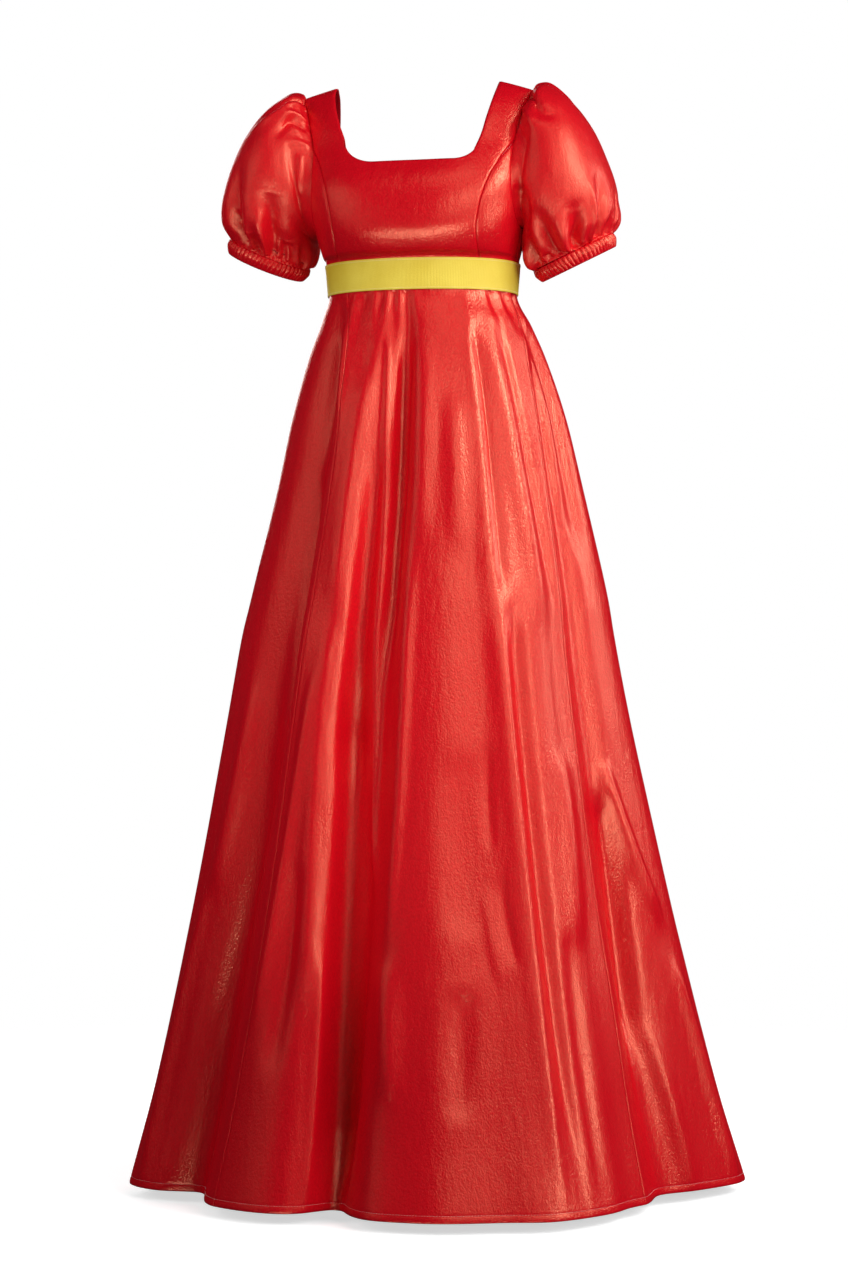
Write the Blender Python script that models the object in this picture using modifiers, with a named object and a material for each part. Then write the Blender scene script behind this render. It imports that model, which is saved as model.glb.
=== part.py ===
"""Regency gown as worn: square-necked princess bodice, puff sleeves on
elastic cuffs, a ribbon band at a raised waist and a long skirt in deep folds.

Metres, +Z up.  The gown's front faces -Y and +X is the wearer's left.
z = 0 is the top of the shoulder straps beside the neck, x = 0 the wearer's
centre line.  Each panel is a lofted open surface thickened inward, so the
neck, armholes, cuffs and hem stay open.
"""
import math

import bmesh
import bpy

# ------------------------------------------------------------ driving sizes
BODICE_WALL = 0.0015      # satin and its lining
SKIRT_WALL = 0.0013       # satin with a turned hem
SLEEVE_WALL = 0.0012
CUFF_WALL = 0.0016        # two layers round the elastic
BAND_WALL = 0.0012        # ribbon
SEAM = 0.0002             # half the space left along a seam

WAIST_SEAM_Z = -0.255
BAND_TOP_Z = -0.2352      # the ribbon is 40 mm wide
BAND_BOTTOM_Z = -0.275
BAND_GAP = 0.0005         # ribbon to bodice
HEM_Z = -1.423
SHOULDER_SLOPE = 0.28     # fall of the strap for each metre outward
NECK_BASE = 0.109         # distance from the centre where that fall starts

# Horizontal sections of the worn bodice, from the waist to the shoulder:
# z, half width, reach to the front, reach to the back, squareness
TORSO = [
    (-0.2830, 0.1220, 0.0940, 0.0860, 2.2),
    (-0.2350, 0.1260, 0.0980, 0.0880, 2.2),
    (-0.2000, 0.1340, 0.1130, 0.0900, 2.4),
    (-0.1680, 0.1420, 0.1190, 0.0940, 2.6),
    (-0.1380, 0.1470, 0.1110, 0.0970, 2.8),
    (-0.1100, 0.1500, 0.0950, 0.0980, 3.0),
    (-0.0840, 0.1520, 0.0780, 0.0910, 3.2),
    (-0.0550, 0.1540, 0.0620, 0.0740, 3.4),
    (-0.0300, 0.1560, 0.0460, 0.0490, 3.6),
    (-0.0110, 0.1580, 0.0290, 0.0220, 3.8),
    (-0.0030, 0.1590, 0.0185, 0.0020, 4.0),
    (-0.0001, 0.1598, 0.0130, -0.0070, 4.0),
    (0.0000, 0.1600, 0.0100, -0.0100, 4.0),
]

# Princess seam, waist to armhole: z, distance from the centre line
PRINCESS = [
    (-0.283, 0.0910), (-0.255, 0.0915), (-0.235, 0.0930), (-0.200, 0.0950),
    (-0.168, 0.1000), (-0.138, 0.1080), (-0.110, 0.1190), (-0.084, 0.1340),
]
PRINCESS_TOP_Z = -0.084

# Strap edges: z, armhole front, armhole back, neck edge front, neck edge
# back (distances from the centre line)
STRAP = [
    (-0.110, 0.1335, 0.1470, 0.0770, 0.1240),
    (-0.094, 0.1335, 0.1475, 0.0835, 0.1295),
    (-0.084, 0.1340, 0.1480, 0.0875, 0.1305),
    (-0.055, 0.1390, 0.1495, 0.0970, 0.1285),
    (-0.030, 0.1450, 0.1505, 0.1040, 0.1215),
    (-0.011, 0.1510, 0.1520, 0.1080, 0.1145),
    (0.000, 0.1530, 0.1530, 0.1090, 0.1090),
]
ARMHOLE_FRONT, ARMHOLE_BACK, NECK_FRONT, NECK_BACK = 1, 2, 3, 4
ARMPIT_Z = -0.192
ARMHOLE_WIDE_Z = -0.094   # level where the armhole cuts furthest in
NECK_FRONT_Z = -0.1095
NECK_BACK_Z = -0.094
NECK_SHIFT = 0.0045       # the neckline sits toward the wearer's left
ARMHOLE_GAP_FRONT, ARMHOLE_GAP_BACK = 0.0008, 0.0010

# The gown stands a little toward the wearer's left: z, sideways
SWAY = [
    (0.000, 0.0000), (-0.050, 0.0015), (-0.100, 0.0045), (-0.275, 0.0045),
    (-0.330, 0.0078), (-0.500, 0.0078), (-0.660, 0.0035), (-0.800, 0.0000),
    (-1.423, 0.0000),
]

# Skirt flare: z, share of the way from the waist outline to the hem outline
FLARE = [
    (-0.276, 0.000), (-0.290, 0.018), (-0.318, 0.065), (-0.357, 0.120),
    (-0.435, 0.203), (-0.513, 0.267), (-0.669, 0.399), (-0.825, 0.507),
    (-0.981, 0.616), (-1.137, 0.734), (-1.293, 0.867), (-1.423, 1.000),
]

# Skirt folds, round from the wearer's right side over the front:
# name, bearing at the waist, mid skirt and hem (0 = front, 90 = wearer's
# left), distance of the hem from the axis (mm), relief below the waist (mm)
SKIRT_FOLDS = [
    ("right_crest",   -80, -76, -74,   380,  0),
    ("right_wall",    -66, -60, -61.5, 345,  0),
    ("right_valley",  -57, -44, -56,   293, -5),
    ("right_seam",    -49, -30, -37,   327,  5),
    ("lobe_two",      -30, -22, -26,   323,  1),
    ("lobe_two_lip",  -13, -14, -15,   304,  4),
    ("side_valley",    -8,  -9, -12,   272, -4),
    ("bank",           -4,  -2, -10.6, 257,  2),
    ("main_valley",     0,   4,  -9,   250, -8),
    ("main_rise",       5,   8,  -3,   283,  1),
    ("centre_lip",     10,  11,   3,   310,  4),
    ("centre_lobe",    20,  18,  11,   327,  2),
    ("centre_crest",   28,  27,  19,   343,  0),
    ("centre_dip",     37,  36,  31,   329, -2),
    ("ridge",          43,  44,  42,   357,  4),
    ("ridge_dip",      51,  49,  50,   353, -5),
    ("left_crest",     59,  60,  58,   348,  4),
    ("left_dip",       69,  67,  66,   336,  1),
    ("left_seam",      84,  72,  71,   339,  2),
    ("left_valley",    89,  79,  83,   322, -6),
    ("left_rise",      94,  86,  92,   362,  1),
    ("left_edge",     106, 104, 108,   426,  0),
    ("back_one",      121, 121, 123,   380, -3),
    ("back_two",      134, 136, 139,   406,  3),
    ("back_three",    149, 150, 152,   352, -4),
    ("back_four",     162, 163, 165,   390,  3),
    ("back_five",     172, 173, 174,   346, -4),
    ("closure",       182, 182, 183,   372,  2),
    ("back_six",      192, 193, 193,   340, -4),
    ("back_seven",    204, 206, 207,   388,  4),
    ("back_eight",    217, 219, 220,   350, -4),
    ("back_nine",     231, 233, 235,   392,  3),
    ("back_ten",      244, 246, 248,   346, -4),
    ("back_eleven",   258, 260, 262,   386,  3),
    ("back_twelve",   270, 272, 274,   352, -3),
]
FOLD_NAMES = [fold[0] for fold in SKIRT_FOLDS]
FOLD_COUNT = len(SKIRT_FOLDS)
FOLD_PARTS = (0.0, 1 / 3, 2 / 3)      # mesh columns along each fold
SEAM_PARTS = (0.0, 0.10, 0.50)        # the same beside a seam, close to it
GATHER_FALL = 0.055       # share of the skirt over which the gathers spread
RELIEF_AT = 0.12          # share of the skirt where the upper relief peaks
SKIRT_ROWS = [WAIST_SEAM_Z - 2 * SEAM, -0.2760, -0.291, -0.312, -0.345, -0.395,
              -0.47, -0.57, -0.69, -0.83, -0.98, -1.13, -1.28, HEM_Z]

# Sleeve rings from the armhole to the cuff: outer x, outer z, inner x,
# inner z, reach to the front, reach to the back, centre y, front drop
SLEEVE = [
    (0.1535, -0.0130, 0.1365, -0.1915, 0.0550, 0.0600, 0.002, 0.0000),
    (0.1625, -0.0085, 0.1430, -0.1930, 0.0670, 0.0700, 0.002, 0.0000),
    (0.1775, -0.0110, 0.1455, -0.1950, 0.0760, 0.0780, 0.003, 0.0000),
    (0.2035, -0.0280, 0.1460, -0.1980, 0.0840, 0.0850, 0.005, 0.0000),
    (0.2290, -0.0605, 0.1450, -0.2010, 0.0880, 0.0880, 0.007, 0.0000),
    (0.2495, -0.1040, 0.1430, -0.2060, 0.0880, 0.0870, 0.009, 0.0010),
    (0.2625, -0.1480, 0.1415, -0.2140, 0.0840, 0.0840, 0.010, 0.0020),
    (0.2640, -0.1750, 0.1420, -0.2240, 0.0760, 0.0770, 0.011, 0.0040),
    (0.2580, -0.1900, 0.1470, -0.2375, 0.0650, 0.0660, 0.012, 0.0055),
    (0.2550, -0.1965, 0.1545, -0.2415, 0.0555, 0.0555, 0.012, 0.0060),
]
LAST_RING = len(SLEEVE) - 1
SLEEVE_LEVELS = [0.0, 0.6, 1.3, 2.1, 3.0, 4.0, 5.0, 6.0, 7.0, 8.0, 8.55, 9.0]
SLEEVE_COLUMNS = 48
SLEEVE_SQUARE = 2.25      # roundness of the middle rings, 2 = an ellipse
CAP_AT, CAP_SPREAD = 1.5, 1.3        # ring where the cap folds stand highest
BLOUSE_AT, BLOUSE_SPREAD = 7.6, 1.5  # ring where the cuff folds stand highest
# side (+1 = wearer's left): outward shift and lift of the sleeve's lower end
SLEEVE_HANG = {1: (-0.0045, -0.0015), -1: (0.0035, 0.0085)}

# Sleeve folds: bearing round the sleeve (0 = top, 90 = front), relief at
# the cap and above the cuff (mm), half width (deg)
SLEEVE_FOLDS = [
    (12, 2.5, 2.0, 10), (38, 3.0, 4.0, 12), (63, 2.0, -3.5, 10),
    (86, -1.5, 4.5, 12), (110, 2.0, -3.5, 10), (134, 2.5, 4.0, 11),
    (160, 1.5, -2.0, 10), (196, 1.5, 3.0, 12), (222, 2.5, -3.0, 11),
    (246, -1.5, 4.0, 12), (272, 2.5, -3.0, 11), (300, 2.5, 4.0, 12),
    (334, 3.0, -2.5, 12),
]

CUFF_RIBS = 50
CUFF_RIB = 0.0011         # height of one rib
CUFF_DEPTH = 0.0185
CUFF_AXIS = (0.407, 0.100, -0.908)
CUFF_GAP = 0.0004
# share of the depth, radius along the tilt, radius front to back
CUFF = [(0.00, 0.0535, 0.0545), (0.45, 0.0550, 0.0560), (1.00, 0.0500, 0.0515)]

# finish: red, green and blue (linear), roughness
FINISHES = {
    "satin": (0.56, 0.011, 0.016, 0.32),
    "ribbon": (0.60, 0.44, 0.04, 0.45),
}


# ------------------------------------------------------------- small maths
def catmull(values, k):
    """Smooth value of a list at the fractional index k."""
    last = len(values) - 1
    k = min(max(k, 0.0), float(last))
    i = min(int(k), last - 1)
    f = k - i
    p1, p2 = values[i], values[i + 1]
    p0 = values[i - 1] if i > 0 else 2 * p1 - p2
    p3 = values[i + 2] if i + 2 <= last else 2 * p2 - p1
    return 0.5 * (2 * p1 + (p2 - p0) * f + (2 * p0 - 5 * p1 + 4 * p2 - p3) * f * f
                  + (3 * p1 - p0 - 3 * p2 + p3) * f ** 3)


def bisect(function, low, high, want):
    """Argument at which a rising function reaches a value."""
    for _ in range(44):
        middle = 0.5 * (low + high)
        if function(middle) < want:
            low = middle
        else:
            high = middle
    return 0.5 * (low + high)


def index_of(values, want):
    return bisect(lambda k: catmull(values, k), 0.0, float(len(values) - 1), want)


def lookup(table, column, key):
    """Smooth value of one column of a table, read at its first column."""
    if table[0][0] > table[-1][0]:
        table = table[::-1]
    k = index_of([row[0] for row in table], key)
    return catmull([row[column] for row in table], k)


def smooth(a, b, v):
    """0 at a, 1 at b, with soft ends."""
    t = min(max((v - a) / (b - a), 0.0), 1.0)
    return t * t * (3 - 2 * t)


def signed_power(v, power):
    return math.copysign(abs(v) ** power, v)


def add(p, q, scale=1.0):
    return (p[0] + q[0] * scale, p[1] + q[1] * scale, p[2] + q[2] * scale)


def cross(p, q):
    return (p[1] * q[2] - p[2] * q[1], p[2] * q[0] - p[0] * q[2], p[0] * q[1] - p[1] * q[0])


def unit(p):
    length = math.sqrt(sum(v * v for v in p)) or 1.0
    return (p[0] / length, p[1] / length, p[2] / length)


def mirrored(rows, side):
    """The same rows for the wearer's right when side is -1."""
    return [[p and (side * p[0], p[1], p[2]) for p in row] for row in rows]


# ------------------------------------------------------------------ bodice
TORSO_Z = [row[0] for row in TORSO]
TORSO_TOP = float(len(TORSO) - 1)


def level(z):
    """Fractional row of TORSO at height z."""
    return index_of(TORSO_Z, z)


def torso_row(k):
    return [catmull([row[c] for row in TORSO], k) for c in range(5)]


def sway(z):
    return lookup(SWAY, 1, z)


def torso(bearing, k, centred=False):
    """Point of the worn bodice at a bearing (0 front, 90 left) and level k."""
    z, half, front, back, square = torso_row(k)
    s, c = math.sin(math.radians(bearing)), math.cos(math.radians(bearing))
    depth = max((front + back) / 2.0, 0.0)
    reach = depth * max(1.0 - abs(s) ** square, 0.0) ** (1.0 / square)
    x = half * s
    drop = SHOULDER_SLOPE * max(0.0, abs(x) - NECK_BASE) * smooth(-0.110, -0.030, z)
    shift = 0.0 if centred else sway(z)
    return (x + shift, (back - front) / 2.0 - math.copysign(reach, c), z - drop)


def bearing_at(x, k, back=False):
    """Bearing of the point x out from the centre line at level k."""
    ratio = min(max(x / torso_row(k)[1], -1.0), 1.0)
    bearing = math.degrees(math.asin(ratio))
    return 180.0 - bearing if back else bearing


def armhole(t, back=False):
    """(bearing, level) down the wearer's left armhole: t 0 shoulder, 1 armpit."""
    column = ARMHOLE_BACK if back else ARMHOLE_FRONT
    wide = level(ARMHOLE_WIDE_Z)
    turn = 0.45
    if t < turn:
        k = TORSO_TOP + (wide - TORSO_TOP) * (t / turn)
        return bearing_at(lookup(STRAP, column, catmull(TORSO_Z, k)), k, back), k
    a = math.radians(90.0 * (t - turn) / (1.0 - turn))
    z = ARMHOLE_WIDE_Z - (ARMHOLE_WIDE_Z - ARMPIT_Z) * math.sin(a)
    start = bearing_at(lookup(STRAP, column, ARMHOLE_WIDE_Z), wide)
    bearing = 90.0 - (90.0 - start) * math.cos(a)
    return (180.0 - bearing if back else bearing), level(z)


def armhole_at(z, back=False):
    """Where down the armhole the height z is met."""
    return bisect(lambda t: -catmull(TORSO_Z, armhole(t, back)[1]), 0.0, 1.0, -z)


FRONT_ROWS = [WAIST_SEAM_Z, -0.235, -0.216, -0.198, -0.181, -0.164, -0.147, -0.130]
STRAP_LEVELS = [6.25, 6.6, 7.0, 7.5, 8.0, 8.5, 9.0, 9.5, 10.0, 11.0, 12.0]
STRAP_SHARE = 0.685       # the strap's inner edge, as a share of the panel's half width
CENTRE_SHARE = 0.36       # where the neckline starts to rise to its corner
STRAP_COLUMNS, CORNER_COLUMNS, CENTRE_COLUMNS = 4, 4, 3
NECK_OUTER_Z = -0.104     # the neckline row where it meets the princess seam
CORNER_RISE, CORNER_REACH = 0.026, 0.036   # size of the neckline's rounded corner
CORNER_POWER = 1.5        # 1 would cut the corner straight, 2 is a quarter ellipse


def neckline():
    """Half the neckline, outside in: distance from the middle and height."""
    top = NECK_FRONT_Z + CORNER_RISE
    inner = lookup(STRAP, NECK_FRONT, top)
    outer = lookup(PRINCESS, 1, NECK_OUTER_Z) - SEAM
    places = []
    for i in range(STRAP_COLUMNS):
        f = i / STRAP_COLUMNS
        places.append((outer + (inner - outer) * f, NECK_OUTER_Z + (top - NECK_OUTER_Z) * f))
    for i in range(CORNER_COLUMNS):
        a = math.radians(90.0 - 90.0 * i / CORNER_COLUMNS)
        places.append((inner - CORNER_REACH * (1.0 - math.sin(a) ** (2.0 / CORNER_POWER)),
                       top - CORNER_RISE * abs(math.cos(a)) ** (2.0 / CORNER_POWER)))
    for i in range(CENTRE_COLUMNS + 1):
        places.append(((inner - CORNER_REACH) * (1.0 - i / CENTRE_COLUMNS), NECK_FRONT_Z))
    return places


def front_shares():
    """Where each column stands in a full row, as a share of the half width."""
    strap = [1.0 - (1.0 - STRAP_SHARE) * i / STRAP_COLUMNS for i in range(STRAP_COLUMNS)]
    corner = [STRAP_SHARE - (STRAP_SHARE - CENTRE_SHARE) * i / CORNER_COLUMNS
              for i in range(CORNER_COLUMNS)]
    centre = [CENTRE_SHARE * (1.0 - i / CENTRE_COLUMNS) for i in range(CENTRE_COLUMNS + 1)]
    return strap + corner + centre


def front_row(place_on):
    """One row right across the front from a function of side and column."""
    count = STRAP_COLUMNS + CORNER_COLUMNS + CENTRE_COLUMNS + 1
    left, right = ([place_on(side, i) for i in range(count)] for side in (-1, 1))
    return left + right[::-1][1:]


def bodice_front():
    """Centre front from waist to neckline, with a strap up to each shoulder."""
    shares, neck = front_shares(), neckline()

    def on_body(side, i):
        share = shares[i]
        ease = 1.0 if share < 0.5 else 4 * share * (1 - share)
        x = side * (lookup(PRINCESS, 1, z) - SEAM) * share
        return torso(bearing_at(x + NECK_SHIFT * smooth(-0.20, -0.11, z) * ease, k), k)

    def on_neckline(side, i):
        x, height = neck[i]
        inward = min(i / STRAP_COLUMNS, 1.0)
        x = side * x + NECK_SHIFT * smooth(0.0, -0.100, height) * inward
        return torso(bearing_at(x, level(height)), level(height))

    def on_strap(side, i):
        if i > STRAP_COLUMNS:
            return None
        outer, inner = lookup(STRAP, ARMHOLE_FRONT, z), lookup(STRAP, NECK_FRONT, z)
        f = i / STRAP_COLUMNS
        x = side * (outer + (inner - outer) * f) + NECK_SHIFT * smooth(0.0, -0.100, z) * f
        p = torso(bearing_at(x, k), k)
        return add(p, (0.0, -SEAM, 0.0)) if k == TORSO_TOP else p

    rows = []
    for z in FRONT_ROWS:
        k = level(z)
        rows.append(front_row(on_body))
    rows.append(front_row(on_neckline))
    for k in STRAP_LEVELS:
        z = catmull(TORSO_Z, k)
        rows.append(front_row(on_strap))
    cloth("bodice_front", rows, BODICE_WALL)


SIDE_COLUMNS = 8
SIDE_STEP = math.degrees(SEAM / 0.10)    # a seam's half space as a bearing


def bodice_side_front(side):
    """Side front panel: waist, princess seam, armhole and side seam."""
    start = armhole_at(PRINCESS_TOP_Z)

    def bottom(u):
        first = bearing_at(lookup(PRINCESS, 1, WAIST_SEAM_Z), level(WAIST_SEAM_Z))
        return first + (90.0 - first) * u, WAIST_SEAM_Z

    def top(u):
        bearing, k = armhole(start + (1.0 - start) * u)
        return bearing, catmull(TORSO_Z, k)

    def inner(v):
        z = WAIST_SEAM_Z + (PRINCESS_TOP_Z - WAIST_SEAM_Z) * v
        return bearing_at(lookup(PRINCESS, 1, z), level(z)), z

    def outer(v):
        return 90.0, WAIST_SEAM_Z + (ARMPIT_Z - WAIST_SEAM_Z) * v

    heights = FRONT_ROWS + [NECK_OUTER_Z, PRINCESS_TOP_Z]
    rows = []
    for height in heights:
        v = (height - WAIST_SEAM_Z) / (PRINCESS_TOP_Z - WAIST_SEAM_Z)
        row = []
        for c in range(SIDE_COLUMNS + 1):
            u = c / SIDE_COLUMNS
            corners = [(1 - u) * (1 - v) * bottom(0)[a] + u * (1 - v) * bottom(1)[a]
                       + (1 - u) * v * top(0)[a] + u * v * top(1)[a] for a in (0, 1)]
            bearing, z = [(1 - v) * bottom(u)[a] + v * top(u)[a] + (1 - u) * inner(v)[a]
                          + u * outer(v)[a] - corners[a] for a in (0, 1)]
            bearing += SIDE_STEP if c == 0 else (-SIDE_STEP if c == SIDE_COLUMNS else 0.0)
            row.append(torso(side * bearing, level(z)))
        rows.append(row)
    cloth("bodice_side_front_" + SIDE_NAME[side], rows, BODICE_WALL)


BACK_ROWS = [WAIST_SEAM_Z, -0.235, -0.216, -0.204, ARMPIT_Z, -0.174, -0.156, -0.138, -0.120]
BACK_LEVELS = [6.3, 6.65, 7.0, 7.5, 8.0, 8.5, 9.0, 9.5, 10.0, 11.0, 12.0]
BACK_CORNER, BACK_COLUMNS = 3, 9
BACK_WAIST_BEARING = 122.0     # bearing of the corner column at the waist
BACK_RISE = (0.004, 0.004, 0.004, 0.004, 0.001, 0, 0, 0, 0, 0)


def back_body_row(z, rises):
    """One row from the side seam or armhole round to the centre back."""
    neck = bearing_at(lookup(STRAP, NECK_BACK, NECK_BACK_Z), level(NECK_BACK_Z), True)
    row = []
    for i, rise in enumerate(rises):
        height = z + rise
        first = 90.0 + SIDE_STEP
        if height > ARMPIT_Z:
            first = armhole(armhole_at(height, True), True)[0]
        corner = neck + (BACK_WAIST_BEARING - neck) * smooth(-0.12, -0.22, height)
        last = 180.0 - SIDE_STEP
        if i <= BACK_CORNER:
            bearing = first + (corner - first) * i / BACK_CORNER
        else:
            bearing = corner + (last - corner) * (i - BACK_CORNER) / (BACK_COLUMNS - BACK_CORNER)
        row.append((bearing, level(height)))
    return row


def bodice_back(side):
    """Half of the back, up to its strap, with the closure at the centre."""
    flat = (0.0,) * (BACK_COLUMNS + 1)
    cells = [back_body_row(z, flat) for z in BACK_ROWS]
    cells.append(back_body_row(NECK_BACK_Z, BACK_RISE))
    rows = [[torso(side * bearing, k) for bearing, k in row] for row in cells]
    for k in BACK_LEVELS:
        z = catmull(TORSO_Z, k)
        outer, inner = lookup(STRAP, ARMHOLE_BACK, z), lookup(STRAP, NECK_BACK, z)
        row = [None] * (BACK_COLUMNS + 1)
        for i in range(BACK_CORNER + 1):
            x = outer + (inner - outer) * i / BACK_CORNER
            p = torso(side * bearing_at(x, k, True), k)
            if k == TORSO_TOP:
                p = add(p, (0.0, SEAM, 0.0))
            row[i] = p
        rows.append(row)
    cloth("bodice_back_" + SIDE_NAME[side], rows, BODICE_WALL)


# -------------------------------------------------------------------- band
BAND_COLUMNS = 84


def waist_band():
    """Ribbon round the waist seam, its ends meeting at the back closure."""
    out = BAND_GAP + BAND_WALL
    rows = []
    for z in (BAND_BOTTOM_Z, WAIST_SEAM_Z, BAND_TOP_Z):
        k = level(z)
        row = []
        for c in range(BAND_COLUMNS + 1):
            bearing = -180.0 + SIDE_STEP + (360.0 - 2 * SIDE_STEP) * c / BAND_COLUMNS
            ahead, behind = torso(bearing + 0.5, k), torso(bearing - 0.5, k)
            outward = unit(cross(add(ahead, behind, -1.0), (0.0, 0.0, 1.0)))
            row.append(add(torso(bearing, k), outward, out))
        rows.append(row)
    cloth("waist_band", rows, BAND_WALL, finish="ribbon")


# ------------------------------------------------------------------- skirt
def fold_bearing(fold, t):
    """Bearing of a fold t of the way down the skirt."""
    _, waist, mid, hem, _, _ = fold
    return mid + (hem - mid) * t ** 1.5 + (waist - mid) * math.exp(-t / GATHER_FALL)


def fold_slopes(steps, values):
    """Tangents that keep each crest and valley where the table puts it."""
    rise = [(values[(i + 1) % FOLD_COUNT] - values[i]) / steps[i] for i in range(FOLD_COUNT)]
    tangents = []
    for i in range(FOLD_COUNT):
        a, b = rise[i - 1], rise[i]
        wa, wb = 2 * steps[i] + steps[i - 1], steps[i] + 2 * steps[i - 1]
        tangents.append(0.0 if a * b <= 0 else (wa + wb) / (wa / a + wb / b))
    return tangents


def fold_track(position, t):
    """Bearing, hem reach and upper relief at a place counted in folds."""
    turn, rest = divmod(position, FOLD_COUNT)
    i, j = int(rest), (int(rest) + 1) % FOLD_COUNT
    f = rest - i
    bearings = [fold_bearing(fold, t) for fold in SKIRT_FOLDS]
    steps = [(bearings[(n + 1) % FOLD_COUNT] - bearings[n]) % 360.0 for n in range(FOLD_COUNT)]
    out = []
    for column in (4, 5):
        values = [fold[column] * 0.001 for fold in SKIRT_FOLDS]
        slope = fold_slopes(steps, values)
        out.append((2 * f ** 3 - 3 * f * f + 1) * values[i]
                   + (f ** 3 - 2 * f * f + f) * steps[i] * slope[i]
                   + (3 * f * f - 2 * f ** 3) * values[j]
                   + (f ** 3 - f * f) * steps[i] * slope[j])
    return bearings[i] + steps[i] * f + 360.0 * turn, out[0], out[1]


def skirt(position, z, aside=0.0):
    """Point of the hanging skirt, moved aside along the cloth by a length."""
    t = max((BAND_BOTTOM_Z - z) / (BAND_BOTTOM_Z - HEM_Z), 0.0)
    bearing, hem, relief = fold_track(position, t)
    a = math.radians(bearing)
    _, half, front, back, square = torso_row(level(max(z, TORSO_Z[0])))
    waist = (abs(math.sin(a) / half) ** square
             + abs(2.0 * math.cos(a) / (front + back)) ** square) ** (-1.0 / square)
    flare = lookup(FLARE, 1, z) if z < FLARE[0][0] else 0.0
    reach = waist * (1.0 - flare) + hem * flare
    reach += relief * (t / RELIEF_AT) * math.exp(1.0 - t / RELIEF_AT)
    a += aside / reach
    y = (back - front) / 2.0 * (1.0 - flare)
    return (reach * math.sin(a) + sway(z), y - reach * math.cos(a), z)


def skirt_panel(name, first, last):
    """One gore, from the fold named first round to the fold named last."""
    a, b = FOLD_NAMES.index(first), FOLD_NAMES.index(last)
    b += FOLD_COUNT if b <= a else 0
    places = [a + part for part in SEAM_PARTS]
    places += [fold + part for fold in range(a + 1, b - 1) for part in FOLD_PARTS]
    places += [b - 1] + [b - part for part in SEAM_PARTS[::-1]]
    aside = [SEAM] + [0.0] * (len(places) - 2) + [-SEAM]
    rows = [[skirt(place, z, shift) for place, shift in zip(places, aside)] for z in SKIRT_ROWS]
    cloth(name, rows, SKIRT_WALL)


# ----------------------------------------------------------------- sleeves
def resample(points, count):
    """The same path in count equal steps."""
    length = [0.0]
    for a, b in zip(points, points[1:]):
        length.append(length[-1] + math.dist(a, b))
    out, i = [], 0
    for c in range(count + 1):
        want = length[-1] * c / count
        while i < len(length) - 2 and length[i + 1] < want:
            i += 1
        f = (want - length[i]) / (length[i + 1] - length[i])
        out.append(add(points[i], add(points[i + 1], points[i], -1.0), f))
    return out


def armhole_ring():
    """The wearer's left armhole seam: shoulder, front, armpit, back."""
    half, fine = SLEEVE_COLUMNS // 2, 160
    front = resample([torso(*armhole(t / fine), True) for t in range(fine + 1)], half)
    back = resample([torso(*armhole(t / fine, True), True) for t in range(fine + 1)], half)
    ring = []
    for c, (x, y, z) in enumerate(front + back[::-1][1:-1]):
        out = ARMHOLE_GAP_FRONT if c <= half else ARMHOLE_GAP_BACK
        out += 0.0004 * smooth(-0.060, -0.100, z)
        up = 0.0007 * smooth(-0.150, -0.188, z)
        ring.append((x + out, y, z + up))
    return ring


ARMHOLE_RING = armhole_ring()


def sleeve_ring(i, c, side):
    """Point c of ring i of a sleeve, drawn for the wearer's left."""
    if i == 0:
        x, y, z = ARMHOLE_RING[c]
        return (x + side * sway(z), y, z)
    outer_x, outer_z, inner_x, inner_z, front, back, y, drop = SLEEVE[i]
    power = 2.0 / SLEEVE_SQUARE if i < LAST_RING - 1 else 1.0
    a = 2.0 * math.pi * c / SLEEVE_COLUMNS
    up, ahead = signed_power(math.cos(a), power), signed_power(math.sin(a), power)
    shift, lift = (v * smooth(0.5, 6.0, i) for v in SLEEVE_HANG[side])
    return ((outer_x + inner_x) / 2 + (outer_x - inner_x) / 2 * up + shift,
            y - (front if ahead > 0 else back) * ahead,
            (outer_z + inner_z) / 2 + (outer_z - inner_z) / 2 * up - drop * ahead + lift)


def sleeve_relief(turn, v):
    """Height of the sleeve's folds at a bearing round it and a ring."""
    cap = math.exp(-((v - CAP_AT) / CAP_SPREAD) ** 2) * smooth(0.0, 0.6, v)
    cuff_fold = math.exp(-((v - BLOUSE_AT) / BLOUSE_SPREAD) ** 2)
    cuff_fold *= smooth(LAST_RING, LAST_RING - 0.7, v)
    relief = 0.0
    for bearing, at_cap, at_cuff, half in SLEEVE_FOLDS:
        away = (turn - bearing + 180.0) % 360.0 - 180.0
        relief += (at_cap * cap + at_cuff * cuff_fold) * math.exp(-(away / half) ** 2)
    return 0.001 * relief


def sleeve(side):
    """Puff sleeve from the armhole seam down to its cuff."""
    columns = [[sleeve_ring(i, c, side) for i in range(LAST_RING + 1)]
               for c in range(SLEEVE_COLUMNS)]
    grid = [[tuple(catmull([p[a] for p in column], v) for a in range(3)) for column in columns]
            for v in SLEEVE_LEVELS]
    rows = []
    for r, v in enumerate(SLEEVE_LEVELS):
        above, below = grid[max(r - 1, 0)], grid[min(r + 1, len(grid) - 1)]
        row = []
        for c, p in enumerate(grid[r]):
            along = add(grid[r][(c + 1) % SLEEVE_COLUMNS], grid[r][c - 1], -1.0)
            outward = unit(cross(add(below[c], above[c], -1.0), along))
            row.append(add(p, outward, sleeve_relief(360.0 * c / SLEEVE_COLUMNS, v)))
        rows.append(row)
    cloth("sleeve_" + SIDE_NAME[side], mirrored(rows, side), SLEEVE_WALL, closed=True)


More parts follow.
